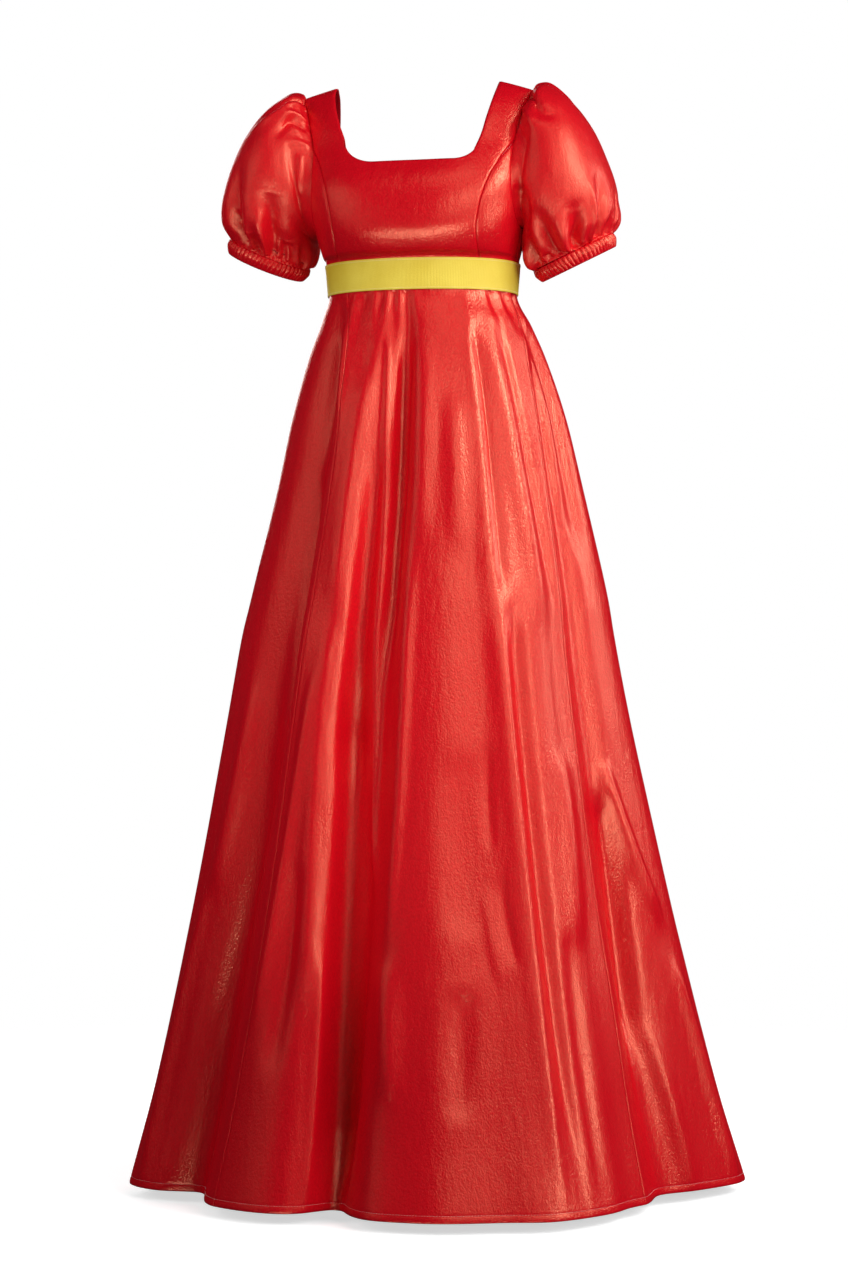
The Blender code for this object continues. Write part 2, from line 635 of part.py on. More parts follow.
def cuff(side):
    """Gathered casing over its elastic, ribbed all round."""
    outer_x, outer_z, inner_x, inner_z, _, _, y, _ = SLEEVE[LAST_RING]
    shift, lift = SLEEVE_HANG[side]
    axis = unit(CUFF_AXIS)
    along = unit((outer_x - inner_x, 0.0, outer_z - inner_z))
    ahead = unit(cross(axis, along))
    if ahead[1] > 0:
        ahead = (-ahead[0], -ahead[1], -ahead[2])
    middle = ((outer_x + inner_x) / 2 + shift, y, (outer_z + inner_z) / 2 + lift)
    columns = CUFF_RIBS * 2
    rows = []
    for share, r_along, r_ahead in CUFF:
        centre = add(middle, axis, CUFF_GAP + share * CUFF_DEPTH)
        row = []
        for c in range(columns):
            a = 2.0 * math.pi * c / columns
            rib = CUFF_RIB * (0.5 if c % 2 == 0 else -0.5) * (0.9 + 0.35 * math.sin(3.1 * c))
            p = add(centre, along, (r_along + rib) * math.cos(a))
            row.append(add(p, ahead, (r_ahead + rib) * math.sin(a)))
        rows.append(row)
    cloth("cuff_" + SIDE_NAME[side], mirrored(rows, side), CUFF_WALL, closed=True)


# ------------------------------------------------------------------ solids
SIDE_NAME = {1: "left", -1: "right"}


def material_of(name, finish):
    """A panel's own plain cloth material."""
    red, green, blue, roughness = FINISHES[finish]
    material = bpy.data.materials.new(name)
    material.use_nodes = True
    shader = material.node_tree.nodes["Principled BSDF"]
    shader.inputs["Base Color"].default_value = (red, green, blue, 1.0)
    shader.inputs["Roughness"].default_value = roughness
    shader.inputs["Metallic"].default_value = 0.0
    material.diffuse_color = (red, green, blue, 1.0)
    return material


def cloth(name, rows, wall, closed=False, finish="satin"):
    """Loft rows of points into one open surface and thicken it inward."""
    bm = bmesh.new()
    verts = [[bm.verts.new(p) if p else None for p in row] for row in rows]
    for below, above in zip(verts, verts[1:]):
        for c in range(len(below) - (0 if closed else 1)):
            n = (c + 1) % len(below)
            corners = (below[c], below[n], above[n], above[c])
            if all(corners):
                bm.faces.new(corners)
    for vert in [v for v in bm.verts if not v.link_faces]:
        bm.verts.remove(vert)
    bm.normal_update()
    middle = [sum(v.co[a] for v in bm.verts) / len(bm.verts) for a in range(3)]
    if not closed:
        middle[0] = middle[1] = 0.0
    outward = sum((f.calc_center_median()[a] - middle[a]) * f.normal[a]
                  for f in bm.faces for a in (0, 1))
    if outward < 0:
        bmesh.ops.reverse_faces(bm, faces=bm.faces)
    mesh = bpy.data.meshes.new(name)
    bm.to_mesh(mesh)
    bm.free()
    mesh.shade_smooth()
    mesh.materials.append(material_of(name, finish))
    panel = bpy.data.objects.new(name, mesh)
    bpy.data.collections["regency_gown"].objects.link(panel)
    wall_modifier = panel.modifiers.new("cloth wall", "SOLIDIFY")
    wall_modifier.thickness = wall
    wall_modifier.offset = -1.0
    wall_modifier.use_rim = True


def main():
    for ob in list(bpy.data.objects):
        bpy.data.objects.remove(ob, do_unlink=True)
    gown = bpy.data.collections.new("regency_gown")
    bpy.context.scene.collection.children.link(gown)
    bodice_front()
    for side in (1, -1):
        bodice_side_front(side)
        bodice_back(side)
        sleeve(side)
        cuff(side)
    waist_band()
    skirt_panel("skirt_front", "right_seam", "left_seam")
    skirt_panel("skirt_back_left", "left_seam", "closure")
    skirt_panel("skirt_back_right", "closure", "right_seam")


main()
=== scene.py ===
"""Regency gown, dressed: red satin bodice and skirt, puff sleeves gathered
into elastic cuffs, and a yellow ribbon round the raised waist.

Metres and the frame's own axes: +Z up, the front faces -Y, +X is the wearer's
left.  A bearing is an angle round the body: 0 front, 90 the wearer's left.
Every panel is a fine grid on its solid's form.  Its creases are short tables
placed in the cloth, and each panel is then thickened inward.
"""
import math

import bmesh
import bpy
import numpy as np
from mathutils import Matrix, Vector
from mathutils.kdtree import KDTree


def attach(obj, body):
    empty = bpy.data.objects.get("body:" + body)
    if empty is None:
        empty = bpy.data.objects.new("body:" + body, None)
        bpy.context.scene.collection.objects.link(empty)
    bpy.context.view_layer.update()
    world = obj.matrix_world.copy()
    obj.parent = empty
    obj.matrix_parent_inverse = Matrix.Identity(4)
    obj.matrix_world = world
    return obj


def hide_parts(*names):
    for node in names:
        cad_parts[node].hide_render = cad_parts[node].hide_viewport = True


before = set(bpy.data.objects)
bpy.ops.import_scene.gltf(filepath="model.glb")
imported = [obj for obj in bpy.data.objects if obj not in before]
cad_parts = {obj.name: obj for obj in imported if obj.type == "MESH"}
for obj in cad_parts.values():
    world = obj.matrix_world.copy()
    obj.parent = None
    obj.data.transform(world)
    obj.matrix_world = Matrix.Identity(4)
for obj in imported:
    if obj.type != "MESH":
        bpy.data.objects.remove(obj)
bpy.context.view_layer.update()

# ------------------------------------------------------------ driving sizes
WAIST_SEAM_Z = -0.255
BAND_TOP_Z, BAND_BOTTOM_Z = -0.2352, -0.275      # a 40 mm ribbon
HEM_Z = -1.423
SEAM = 0.00004            # half the space along a sewn seam
SATIN_WALL = 0.0012
RIBBON_WALL = 0.0009
SHOULDER_SLOPE, NECK_BASE = 0.28, 0.109          # fall of the straps, and where it starts
SLOPE_FROM_Z, SLOPE_FULL_Z = -0.110, -0.030
# Lines pressed into the cloth: depth and half width (mm)
SEAM_LINE, TURNED_EDGE = (0.9, 1.5), (0.7, 1.1)
SKIRT_SEAM_LINE, STITCHED_LINE, HEM_EDGE = (0.6, 1.6), (0.35, 1.1), (0.7, 1.2)

# Worn bodice: z, half width, reach to the front, to the back, squareness
TORSO = np.array([
    (-0.2830, 0.1220, 0.0940, 0.0860, 2.2),
    (-0.2350, 0.1260, 0.0980, 0.0880, 2.2),
    (-0.2250, 0.1280, 0.1105, 0.0885, 2.3),
    (-0.2000, 0.1340, 0.1210, 0.0900, 2.4),
    (-0.1680, 0.1420, 0.1195, 0.0940, 2.6),
    (-0.1380, 0.1470, 0.1110, 0.0970, 2.8),
    (-0.1100, 0.1500, 0.0950, 0.0980, 3.0),
    (-0.0840, 0.1520, 0.0780, 0.0910, 3.2),
    (-0.0550, 0.1540, 0.0620, 0.0740, 3.4),
    (-0.0300, 0.1560, 0.0460, 0.0490, 3.6),
    (-0.0110, 0.1580, 0.0290, 0.0220, 3.8),
    (-0.0030, 0.1590, 0.0185, 0.0020, 4.0),
    (-0.0001, 0.1598, 0.0130, -0.0070, 4.0),
    (0.0000, 0.1600, 0.0100, -0.0100, 4.0),
])
# Princess seam: z, distance from the centre line
PRINCESS = np.array([
    (-0.283, 0.0910), (-0.255, 0.0915), (-0.235, 0.0930), (-0.200, 0.0950),
    (-0.168, 0.1000), (-0.138, 0.1080), (-0.110, 0.1190), (-0.084, 0.1340),
])
PRINCESS_TOP_Z = -0.084
# z, armhole front, armhole back, neck edge front, neck edge back
STRAP = np.array([
    (-0.110, 0.1335, 0.1470, 0.0770, 0.1240),
    (-0.094, 0.1335, 0.1475, 0.0835, 0.1295),
    (-0.084, 0.1340, 0.1480, 0.0875, 0.1305),
    (-0.055, 0.1390, 0.1495, 0.0970, 0.1285),
    (-0.030, 0.1450, 0.1505, 0.1040, 0.1215),
    (-0.011, 0.1510, 0.1520, 0.1080, 0.1145),
    (0.000, 0.1530, 0.1530, 0.1090, 0.1090),
])
ARMHOLE_FRONT, ARMHOLE_BACK, NECK_FRONT, NECK_BACK = 1, 2, 3, 4
ARMPIT_Z, ARMHOLE_WIDE_Z = -0.192, -0.094
NECK_FRONT_Z, NECK_BACK_Z, NECK_SHIFT = -0.1095, -0.094, 0.0045
NECK_GROW_Z = -0.100      # the neckline stands aside fully from here down
# z, sideways lean of the whole gown
SWAY = np.array([
    (0.000, 0.0000), (-0.050, 0.0015), (-0.100, 0.0045), (-0.275, 0.0045),
    (-0.330, 0.0078), (-0.500, 0.0078), (-0.660, 0.0035), (-0.800, 0.0000),
    (-1.423, 0.0000),
])
# z, share of the way from waist to hem outline
FLARE = np.array([
    (-0.276, 0.000), (-0.290, 0.018), (-0.318, 0.065), (-0.357, 0.120),
    (-0.435, 0.203), (-0.513, 0.267), (-0.669, 0.399), (-0.825, 0.507),
    (-0.981, 0.616), (-1.137, 0.734), (-1.293, 0.867), (-1.423, 1.000),
])
# Skirt folds: name, bearing at waist, mid skirt and hem, reach of the hem
# (mm), relief below the waist (mm)
SKIRT_FOLDS = [
    ("right_crest", -80, -76, -74, 380, 0), ("right_wall", -66, -60, -61.5, 345, 0),
    ("right_valley", -57, -44, -56, 293, -5), ("right_seam", -49, -30, -37, 327, 5),
    ("lobe_two", -30, -22, -26, 323, 1), ("lobe_two_lip", -13, -17, -15.5, 304, 4),
    ("side_valley", -8, -11.5, -12, 268, 0), ("bank", -4, -5, -10.6, 260, 0),
    ("main_valley", 0, 2, -9, 252, -5), ("main_rise", 5, 6.5, -3, 286, -4),
    ("centre_lip", 10, 11, 3, 313, 1), ("centre_lobe", 20, 18, 11, 324, 1),
    ("centre_crest", 28, 27, 19, 334, 0), ("centre_dip", 37, 36, 31, 337, -1),
    ("ridge", 43, 44, 42, 357, 2), ("ridge_dip", 51, 49, 50, 353, -2),
    ("left_crest", 59, 60, 58, 348, 2), ("left_dip", 69, 67, 66, 336, 0),
    ("left_seam", 84, 72, 71, 339, 2), ("left_valley", 89, 79, 83, 322, -4),
    ("left_rise", 94, 86, 92, 362, 1), ("left_edge", 106, 104, 108, 426, 0),
    ("back_one", 121, 121, 123, 380, -3), ("back_two", 134, 136, 139, 406, 3),
    ("back_three", 149, 150, 152, 352, -4), ("back_four", 162, 163, 165, 390, 3),
    ("back_five", 172, 173, 174, 346, -4), ("closure", 182, 182, 183, 372, 2),
    ("back_six", 192, 193, 193, 340, -4), ("back_seven", 204, 206, 207, 388, 4),
    ("back_eight", 217, 219, 220, 350, -4), ("back_nine", 231, 233, 235, 392, 3),
    ("back_ten", 244, 246, 248, 346, -4), ("back_eleven", 258, 260, 262, 386, 3),
    ("back_twelve", 270, 272, 274, 352, -3),
]
FOLD_NAMES = [fold[0] for fold in SKIRT_FOLDS]
FOLD_COUNT = len(SKIRT_FOLDS)
FOLD_HEM = np.array([fold[4] for fold in SKIRT_FOLDS]) * 0.001
FOLD_RELIEF = np.array([fold[5] for fold in SKIRT_FOLDS]) * 0.001
# Shares of the skirt's length: where the waist's bearings fade out, and where
# the relief below the waist is highest
GATHER_FALL, RELIEF_AT = 0.055, 0.12
HEM_SWING = 1.5           # power of the folds' turn to the hem: over 1 turns late

# Sleeve rings: outer x, outer z, inner x, inner z, front, back, y, front drop
SLEEVE = np.array([
    (0.1535, -0.0130, 0.1365, -0.1915, 0.0550, 0.0600, 0.002, 0.0000),
    (0.1625, -0.0085, 0.1430, -0.1930, 0.0670, 0.0700, 0.002, 0.0000),
    (0.1775, -0.0110, 0.1455, -0.1950, 0.0760, 0.0780, 0.003, 0.0000),
    (0.2035, -0.0280, 0.1460, -0.1980, 0.0840, 0.0850, 0.005, 0.0000),
    (0.2290, -0.0605, 0.1450, -0.2010, 0.0880, 0.0880, 0.007, 0.0000),
    (0.2495, -0.1040, 0.1430, -0.2060, 0.0880, 0.0870, 0.009, 0.0010),
    (0.2625, -0.1480, 0.1415, -0.2140, 0.0840, 0.0840, 0.010, 0.0020),
    (0.2640, -0.1750, 0.1420, -0.2240, 0.0760, 0.0770, 0.011, 0.0040),
    (0.2580, -0.1900, 0.1470, -0.2375, 0.0650, 0.0660, 0.012, 0.0055),
    (0.2550, -0.1965, 0.1545, -0.2415, 0.0555, 0.0555, 0.012, 0.0060),
])
LAST_RING = len(SLEEVE) - 1
SLEEVE_SQUARE = 2.25      # 2 is an ellipse, more is squarer
SLEEVE_HANG = {1: (-0.0045, -0.0015), -1: (0.0035, 0.0085)}      # outward, up
HANG_FROM, HANG_FULL = 0.5, 6.0                  # rings over which that grows
FRONT_DROP = {1: 1.9, -1: 1.1}   # the front of the sleeve's hem follows its cuff
# Rings where the folds of the cap and of the blouse are highest, and their spread
CAP_AT, CAP_SPREAD = 1.5, 1.3
BLOUSE_AT, BLOUSE_SPREAD = 7.6, 1.5
# bearing round the sleeve (0 top, 90 front), mm at the cap, mm above the
# cuff, half width in degrees
SLEEVE_FOLDS = [
    (12, 2.5, 2.0, 10), (38, 3.0, 4.0, 12), (63, 2.0, -3.5, 10),
    (86, -1.5, 4.5, 12), (110, 2.0, -3.5, 10), (134, 2.5, 4.0, 11),
    (160, 1.5, -2.0, 10), (196, 1.5, 3.0, 12), (222, 2.5, -3.0, 11),
    (246, -1.5, 4.0, 12), (272, 2.5, -3.0, 11), (300, 2.5, 4.0, 12),
    (334, 3.0, -2.5, 12),
]
FOLD_SHARE, CREASE_SHARE = 0.6, 1.7              # how much of each table's height is used
# Small gathers: how many, reach from the seam and height (mm)
CUFF_GATHERS, CAP_GATHERS = (58, 13.0, 2.3), (56, 10.0, 2.1)
# How uneven they are: sideways, lean, reach, height; half width in pitches and its growth
GATHER_WANDER, GATHER_LEAN, REACH_VARY, HEIGHT_VARY = 0.28, 0.10, 0.6, 0.45
GATHER_HALF, GATHER_SPREAD = 0.30, 0.7
SEAM_FADE_MM = 14.0       # unevenness dies out this near the cap and the cuff
CAP_CENTRE, CAP_NARROWING = 10.0, 1.1            # bearing where the cap is fullest; over 1 is narrower
SEEDS = {1: (3, 5, 5), -1: (8, 2, 11)}           # cuff gathers, cap gathers, unevenness
# The sleeve's edge behind the bodice's: depth, lap past the seam, step back
TUCK_DEPTH, TUCK_LAP, TUCK_STEP = 0.0016, 0.0018, 0.0005
RING_SHARE = 0.7          # of that depth, where the sleeve leaves the armhole

CUFF_RIBS, RIB_COLUMNS = 56, 10
CUFF_DEPTH = 0.0185
CUFF_AXIS = {1: (0.407, 0.200, -0.890), -1: (0.407, 0.110, -0.908)}
CUFF_ROLL, CUFF_TUCK, CUFF_RIB_HEIGHT, CUFF_CROWN = 0.0010, 0.0032, 0.0021, 0.0008
CUFF_ROLL_REACH = 0.05    # share of the depth over which a rolled edge flattens
RIB_SLANT, RIB_POINT = 0.35, 0.7                 # ribs turned down the cuff; under 1 is rounder
RIB_WANDER, RIB_VARY, RIB_MIDDLE = 0.10, 0.25, 0.6       # sideways, in height; level left unmoved
# rows down the cuff, as shares of its depth; the first ones tuck into the sleeve
CUFF_ROWS = [-0.22, -0.12, -0.04, 0.0, 0.04, 0.09, 0.15, 0.24, 0.33, 0.42,
             0.51, 0.60, 0.69, 0.78, 0.86, 0.92, 0.97, 1.0]
# share of the depth, radius along the tilt, radius front to back
CUFF = np.array([(0.00, 0.0560, 0.0568), (0.45, 0.0562, 0.0572), (1.00, 0.0520, 0.0535)])

# Layers of unevenness: mm across, across and down, mm high
SKIRT_UNEVEN = [(80, 80, 190, 1.5), (38, 38, 66, 0.22), (17, 17, 24, 0.03)]
BODICE_UNEVEN = [(75, 75, 50, 1.0), (34, 34, 26, 0.45), (15, 15, 12, 0.12)]
BAND_UNEVEN = [(38, 38, 90, 0.5), (16, 16, 30, 0.12)]
SLEEVE_UNEVEN = [(62, 62, 58, 1.6), (32, 32, 30, 0.4), (13, 13, 13, 0.1)]

SIDE_NAME = {1: "left", -1: "right"}


# ------------------------------------------------------------- small maths
def curve_at(values, k):
    """Smooth value of the rows of an array at fractional indices k."""
    values = np.asarray(values, float)
    last = len(values) - 1
    k = np.clip(np.asarray(k, float), 0.0, last)
    i = np.minimum(np.nan_to_num(k).astype(int), last - 1)
    f, has_before, has_after = k - i, i > 0, i + 2 <= last
    if values.ndim > 1:
        f, has_before, has_after = (np.expand_dims(v, -1) for v in (f, has_before, has_after))
    p1, p2 = values[i], values[i + 1]
    p0 = np.where(has_before, values[np.maximum(i - 1, 0)], 2 * p1 - p2)
    p3 = np.where(has_after, values[np.minimum(i + 2, last)], 2 * p2 - p1)
    return 0.5 * (2 * p1 + (p2 - p0) * f + (2 * p0 - 5 * p1 + 4 * p2 - p3) * f * f
                  + (3 * p1 - p0 - 3 * p2 + p3) * f ** 3)


def index_of(values, want):
    """Fractional index at which a smooth rising or falling list has a value."""
    k = np.linspace(0.0, len(values) - 1, 4001)
    dense = curve_at(values, k)
    if dense[0] > dense[-1]:
        dense, k = dense[::-1], k[::-1]
    return np.interp(want, dense, k)


def lookup(table, column, key):
    """Smooth value of one column of a table, read at its first column."""
    return curve_at(table[:, column], index_of(table[:, 0], key))


def smooth(a, b, v):
    """0 at a, 1 at b, with soft ends."""
    t = np.clip((v - a) / (b - a), 0.0, 1.0)
    return t * t * (3 - 2 * t)


def unit(v):
    return v / np.maximum(np.linalg.norm(v, axis=-1, keepdims=True), 1e-9)


def away_from(bearing, turn):
    """Degrees from a bearing, -180 to 180."""
    return (turn - bearing + 180.0) % 360.0 - 180.0


def along_line(line, values, at):
    """Values given along a line of points, read at distances from its start."""
    length = line_length(line)
    return np.stack([np.interp(at, length, values[:, axis]) for axis in range(3)], axis=-1)


def line_length(points, axis=0):
    """Distance from the start of a line of points, or of each line of a grid."""
    step = np.linalg.norm(np.diff(points, axis=axis), axis=-1)
    start = np.zeros_like(np.take(step, [0], axis=axis))
    return np.concatenate([start, np.cumsum(step, axis=axis)], axis=axis)


# ------------------------------------------------------------------ bodice
TORSO_TOP = float(len(TORSO) - 1)
ARMHOLE_TURN = 0.45       # share of the way down the armhole where it starts to round


def level(z):
    """Row of the torso's table, with its fraction, that has a height."""
    return index_of(TORSO[:, 0], z)


def height_of(k):
    return curve_at(TORSO[:, 0], k)


def sway(z):
    return lookup(SWAY, 1, z)


def torso(bearing, k, centred=False):
    """Points of the worn bodice at bearings and levels."""
    bearing, k = np.broadcast_arrays(np.asarray(bearing, float), np.asarray(k, float))
    z, half, front, back, square = np.moveaxis(curve_at(TORSO, k), -1, 0)
    s, c = np.sin(np.radians(bearing)), np.cos(np.radians(bearing))
    depth = np.maximum((front + back) / 2.0, 0.0)
    reach = depth * np.maximum(1.0 - np.abs(s) ** square, 0.0) ** (1.0 / square)
    x = half * s
    drop = SHOULDER_SLOPE * np.maximum(0.0, np.abs(x) - NECK_BASE) * smooth(SLOPE_FROM_Z, SLOPE_FULL_Z, z)
    shift = 0.0 if centred else sway(z)
    return np.stack([x + shift, (back - front) / 2.0 - np.copysign(reach, c), z - drop], axis=-1)


def bearing_at(x, k, back=False):
    """Bearing at which the bodice is some distance from its centre line."""
    half = curve_at(TORSO[:, 1], np.asarray(k, float))
    bearing = np.degrees(np.arcsin(np.clip(x / half, -1.0, 1.0)))
    return 180.0 - bearing if back else bearing


def armhole(t, back=False):
    """(bearing, level) down the left armhole: t 0 shoulder, 1 armpit."""
    t = np.asarray(t, float)
    column = ARMHOLE_BACK if back else ARMHOLE_FRONT
    wide = level(ARMHOLE_WIDE_Z)
    k = TORSO_TOP + (wide - TORSO_TOP) * np.minimum(t / ARMHOLE_TURN, 1.0)
    upper = bearing_at(lookup(STRAP, column, height_of(k)), k, back)
    a = np.radians(90.0 * np.clip((t - ARMHOLE_TURN) / (1.0 - ARMHOLE_TURN), 0.0, 1.0))
    z = ARMHOLE_WIDE_Z - (ARMHOLE_WIDE_Z - ARMPIT_Z) * np.sin(a)
    start = bearing_at(lookup(STRAP, column, ARMHOLE_WIDE_Z), wide)
    lower = 90.0 - (90.0 - start) * np.cos(a)
    lower = 180.0 - lower if back else lower
    return np.where(t < ARMHOLE_TURN, upper, lower), np.where(t < ARMHOLE_TURN, k, level(z))


def armhole_at(z, back=False):
    """Where down the armhole the height z is met."""
    t = np.linspace(0.0, 1.0, 801)
    return np.interp(-z, -height_of(armhole(t, back)[1]), t)


# ------------------------------------------------------------ cloth grids
def grid_normals(points, closed=False):
    """Unit normals of a grid of points, rows by columns."""
    down = np.gradient(points, axis=0)
    if closed:
        along = np.roll(points, -1, axis=1) - np.roll(points, 1, axis=1)
    else:
        along = np.gradient(points, axis=1)
    return unit(np.cross(down, along))


def through(three, t):
    """Quadratic through three values at t 0, 0.5 and 1."""
    a, b, c = three
    return a * (1 - t) * (1 - 2 * t) + 4 * b * t * (1 - t) + c * t * (2 * t - 1)


CREASE_STEPS = 26         # places along each crease
CREASE_REACH = 2.6        # half widths beyond which a crease is level


def crease_relief(points, normals, place, creases, fade=0.0):
    """Height that a table of creases adds to a grid.

    Each crease runs through three places in the cloth, has half widths at its
    two ends (mm), heights at the three places (mm, + ridge, - trough) and a
    lean: how much wider its left flank is than its right.  fade is the share
    of its length over which each end dies out.
    """
    relief = np.zeros(points.shape[:2])
    t = np.linspace(0.0, 1.0, CREASE_STEPS)
    for u0, v0, u1, v1, u2, v2, first, last, h0, h1, h2, lean in creases:
        path = place(through((u0, u1, u2), t), through((v0, v1, v2), t))
        heights = through((h0, h1, h2), t)
        if fade:
            heights = heights * smooth(0.0, fade, t) * smooth(1.0, 1.0 - fade, t)
        reach = 0.001 * max(first, last) * (1 + abs(lean)) * CREASE_REACH
        near = np.all((points > path.min(0) - reach) & (points < path.max(0) + reach), axis=-1)
        if not near.any():
            continue
        p, n = points[near], normals[near]
        start, run = path[:-1], np.diff(path, axis=0)
        away = p[:, None, :] - start[None]
        s = np.clip((away * run).sum(-1) / np.maximum((run * run).sum(-1), 1e-12), 0.0, 1.0)
        offset = away - s[..., None] * run
        distance = np.linalg.norm(offset, axis=-1)
        best = distance.argmin(axis=1)
        pick = np.arange(len(p))
        side = np.sign((np.cross(run[best], n) * offset[pick, best]).sum(-1))
        where = (best + s[pick, best]) / (CREASE_STEPS - 1)
        width = 0.001 * (first + (last - first) * where) * (1 + lean * side)
        relief[near] += 0.001 * np.interp(where, t, heights) * np.exp(-(distance[pick, best] / width) ** 2)
    return relief


# Smooth noise: shift of each layer (cells), and the sine that mixes its corners
NOISE_SHIFT, NOISE_CORNER, NOISE_LAYER, NOISE_MIX = 17.3, (127.1, 311.7, 74.7), 5.1, 43758.5453


def uneven_cloth(points, sizes, seed):
    """Soft unevenness: layers of (mm across x, y and z, mm high) of smooth noise."""
    relief = np.zeros(points.shape[:2])
    for layer, (*cell_mm, height) in enumerate(sizes):
        p = np.nan_to_num(points) * 1000.0 / np.array(cell_mm) + NOISE_SHIFT * (seed + layer)
        cell = np.floor(p)
        f = p - cell
        f = f * f * f * (f * (6 * f - 15) + 10)
        total = np.zeros(points.shape[:2])
        for corner in range(8):
            bits = np.array([(corner >> axis) & 1 for axis in range(3)])
            value = np.sin((cell + bits) @ np.array(NOISE_CORNER) + NOISE_LAYER * layer) * NOISE_MIX
            value = 2.0 * (value - np.floor(value)) - 1.0
            total += value * np.prod(np.where(bits, f, 1 - f), axis=-1)
        relief += 0.001 * height * total
    return relief


def groove(away_mm, line):
    """Drop of the cloth at a distance from a pressed line: (depth, half width) in mm."""
    depth, half = line
    return -0.001 * depth * np.exp(-(away_mm / half) ** 2)


def add_mesh(name, points, faces, finishes):
    """A smooth piece that rides on the gown."""
    mesh = bpy.data.meshes.new(name)
    mesh.from_pydata(points.tolist(), [], faces)
    mesh.shade_smooth()
    for finish in finishes:
        mesh.materials.append(finish)
    piece = bpy.data.objects.new(name, mesh)
    bpy.context.scene.collection.objects.link(piece)
    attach(piece, "root")
    return piece


def add_cloth(name, points, wall, finishes, closed=False):
    """A cloth panel from its grid: its outer face, thickened inward.

    The first finish is the cloth's face and the last its back.  Cells with an
    empty corner are left out.
    """
    rows, columns = points.shape[:2]
    middle = points.mean(axis=1, keepdims=True) if closed else points * (0.0, 0.0, 1.0)
    turned = np.nansum(grid_normals(points, closed) * (points - middle)) < 0.0
    filled = np.isfinite(points).all(axis=-1)
    number = (np.cumsum(filled) - 1).reshape(filled.shape)
    faces = []
    for r in range(rows - 1):
        for c in range(columns if closed else columns - 1):
            n = (c + 1) % columns
            corners = [(r, c), (r + 1, c), (r + 1, n), (r, n)]
            if all(filled[corner] for corner in corners):
                faces.append([int(number[corner]) for corner in corners[::-1 if turned else 1]])
    piece = add_mesh(name, points[filled], faces, finishes)
    solid = piece.modifiers.new("cloth wall", "SOLIDIFY")
    solid.thickness = wall
    solid.offset = -1.0
    solid.material_offset = len(finishes) - 1
    solid.material_offset_rim = 0
    return piece


# ------------------------------------------------------------------- skirt
def fold_bearing(t):
    """Bearing of every fold t of the way down the skirt."""
    waist, mid, hem = (np.array([fold[c] for fold in SKIRT_FOLDS], float) for c in (1, 2, 3))
    return mid + (hem - mid) * t ** HEM_SWING + (waist - mid) * np.exp(-t / GATHER_FALL)


def fold_slopes(steps, values):
    """Slope at every fold of a curve through them that never overshoots."""
    rise = (np.roll(values, -1) - values) / steps
    before, before_step = np.roll(rise, 1), np.roll(steps, 1)
    wa, wb = 2 * steps + before_step, steps + 2 * before_step
    same = rise * before > 0
    safe_a, safe_b = np.where(same, before, 1.0), np.where(same, rise, 1.0)
    return np.where(same, (wa + wb) / (wa / safe_a + wb / safe_b), 0.0)


def fold_track(position, t):
    """Bearing, hem reach and upper relief at places counted in folds."""
    turn, rest = np.divmod(position, FOLD_COUNT)
    i = rest.astype(int)
    j = (i + 1) % FOLD_COUNT
    f = rest - i
    bearings = fold_bearing(t)
    steps = (np.roll(bearings, -1) - bearings) % 360.0
    out = []
    for values in (FOLD_HEM, FOLD_RELIEF):
        slope = fold_slopes(steps, values)
        out.append((2 * f ** 3 - 3 * f * f + 1) * values[i]
                   + (f ** 3 - 2 * f * f + f) * steps[i] * slope[i]
                   + (3 * f * f - 2 * f ** 3) * values[j]
                   + (f ** 3 - f * f) * steps[i] * slope[j])
    return bearings[i] + steps[i] * f + 360.0 * turn, out[0], out[1]


def down_skirt(z):
    """Share of the way from the band to the hem."""
    return max((BAND_BOTTOM_Z - z) / (BAND_BOTTOM_Z - HEM_Z), 0.0)


def skirt_ring(position, z, aside=0.0):
    """Points of the hanging skirt at one height."""
    position = np.asarray(position, float)
    t = down_skirt(z)
    bearing, hem, relief = fold_track(position, t)
    a = np.radians(bearing)
    _, half, front, back, square = curve_at(TORSO, level(max(z, TORSO[0, 0])))
    waist = (np.abs(np.sin(a) / half) ** square
             + np.abs(2.0 * np.cos(a) / (front + back)) ** square) ** (-1.0 / square)
    flare = lookup(FLARE, 1, z) if z < FLARE[0, 0] else 0.0
    reach = waist * (1.0 - flare) + hem * flare
    reach = reach + relief * (t / RELIEF_AT) * math.exp(1.0 - t / RELIEF_AT)
    a = a + aside / reach
    y = (back - front) / 2.0 * (1.0 - flare)
    return np.stack([reach * np.sin(a) + sway(z), y - reach * np.cos(a), np.full_like(a, z)], axis=-1)


def skirt_place(bearing, z):
    """Points on the skirt's form at bearings round it and heights."""
    places, round_again = [], 12
    for want, height in zip(bearing, z):
        folds = fold_bearing(down_skirt(height))
        folds = np.concatenate([folds[-round_again:] - 360.0, folds, folds[:round_again] + 360.0])
        fold = np.interp(want, folds, np.arange(-round_again, FOLD_COUNT + round_again))
        places.append(skirt_ring(np.array([fold]), height)[0])
    return np.array(places)


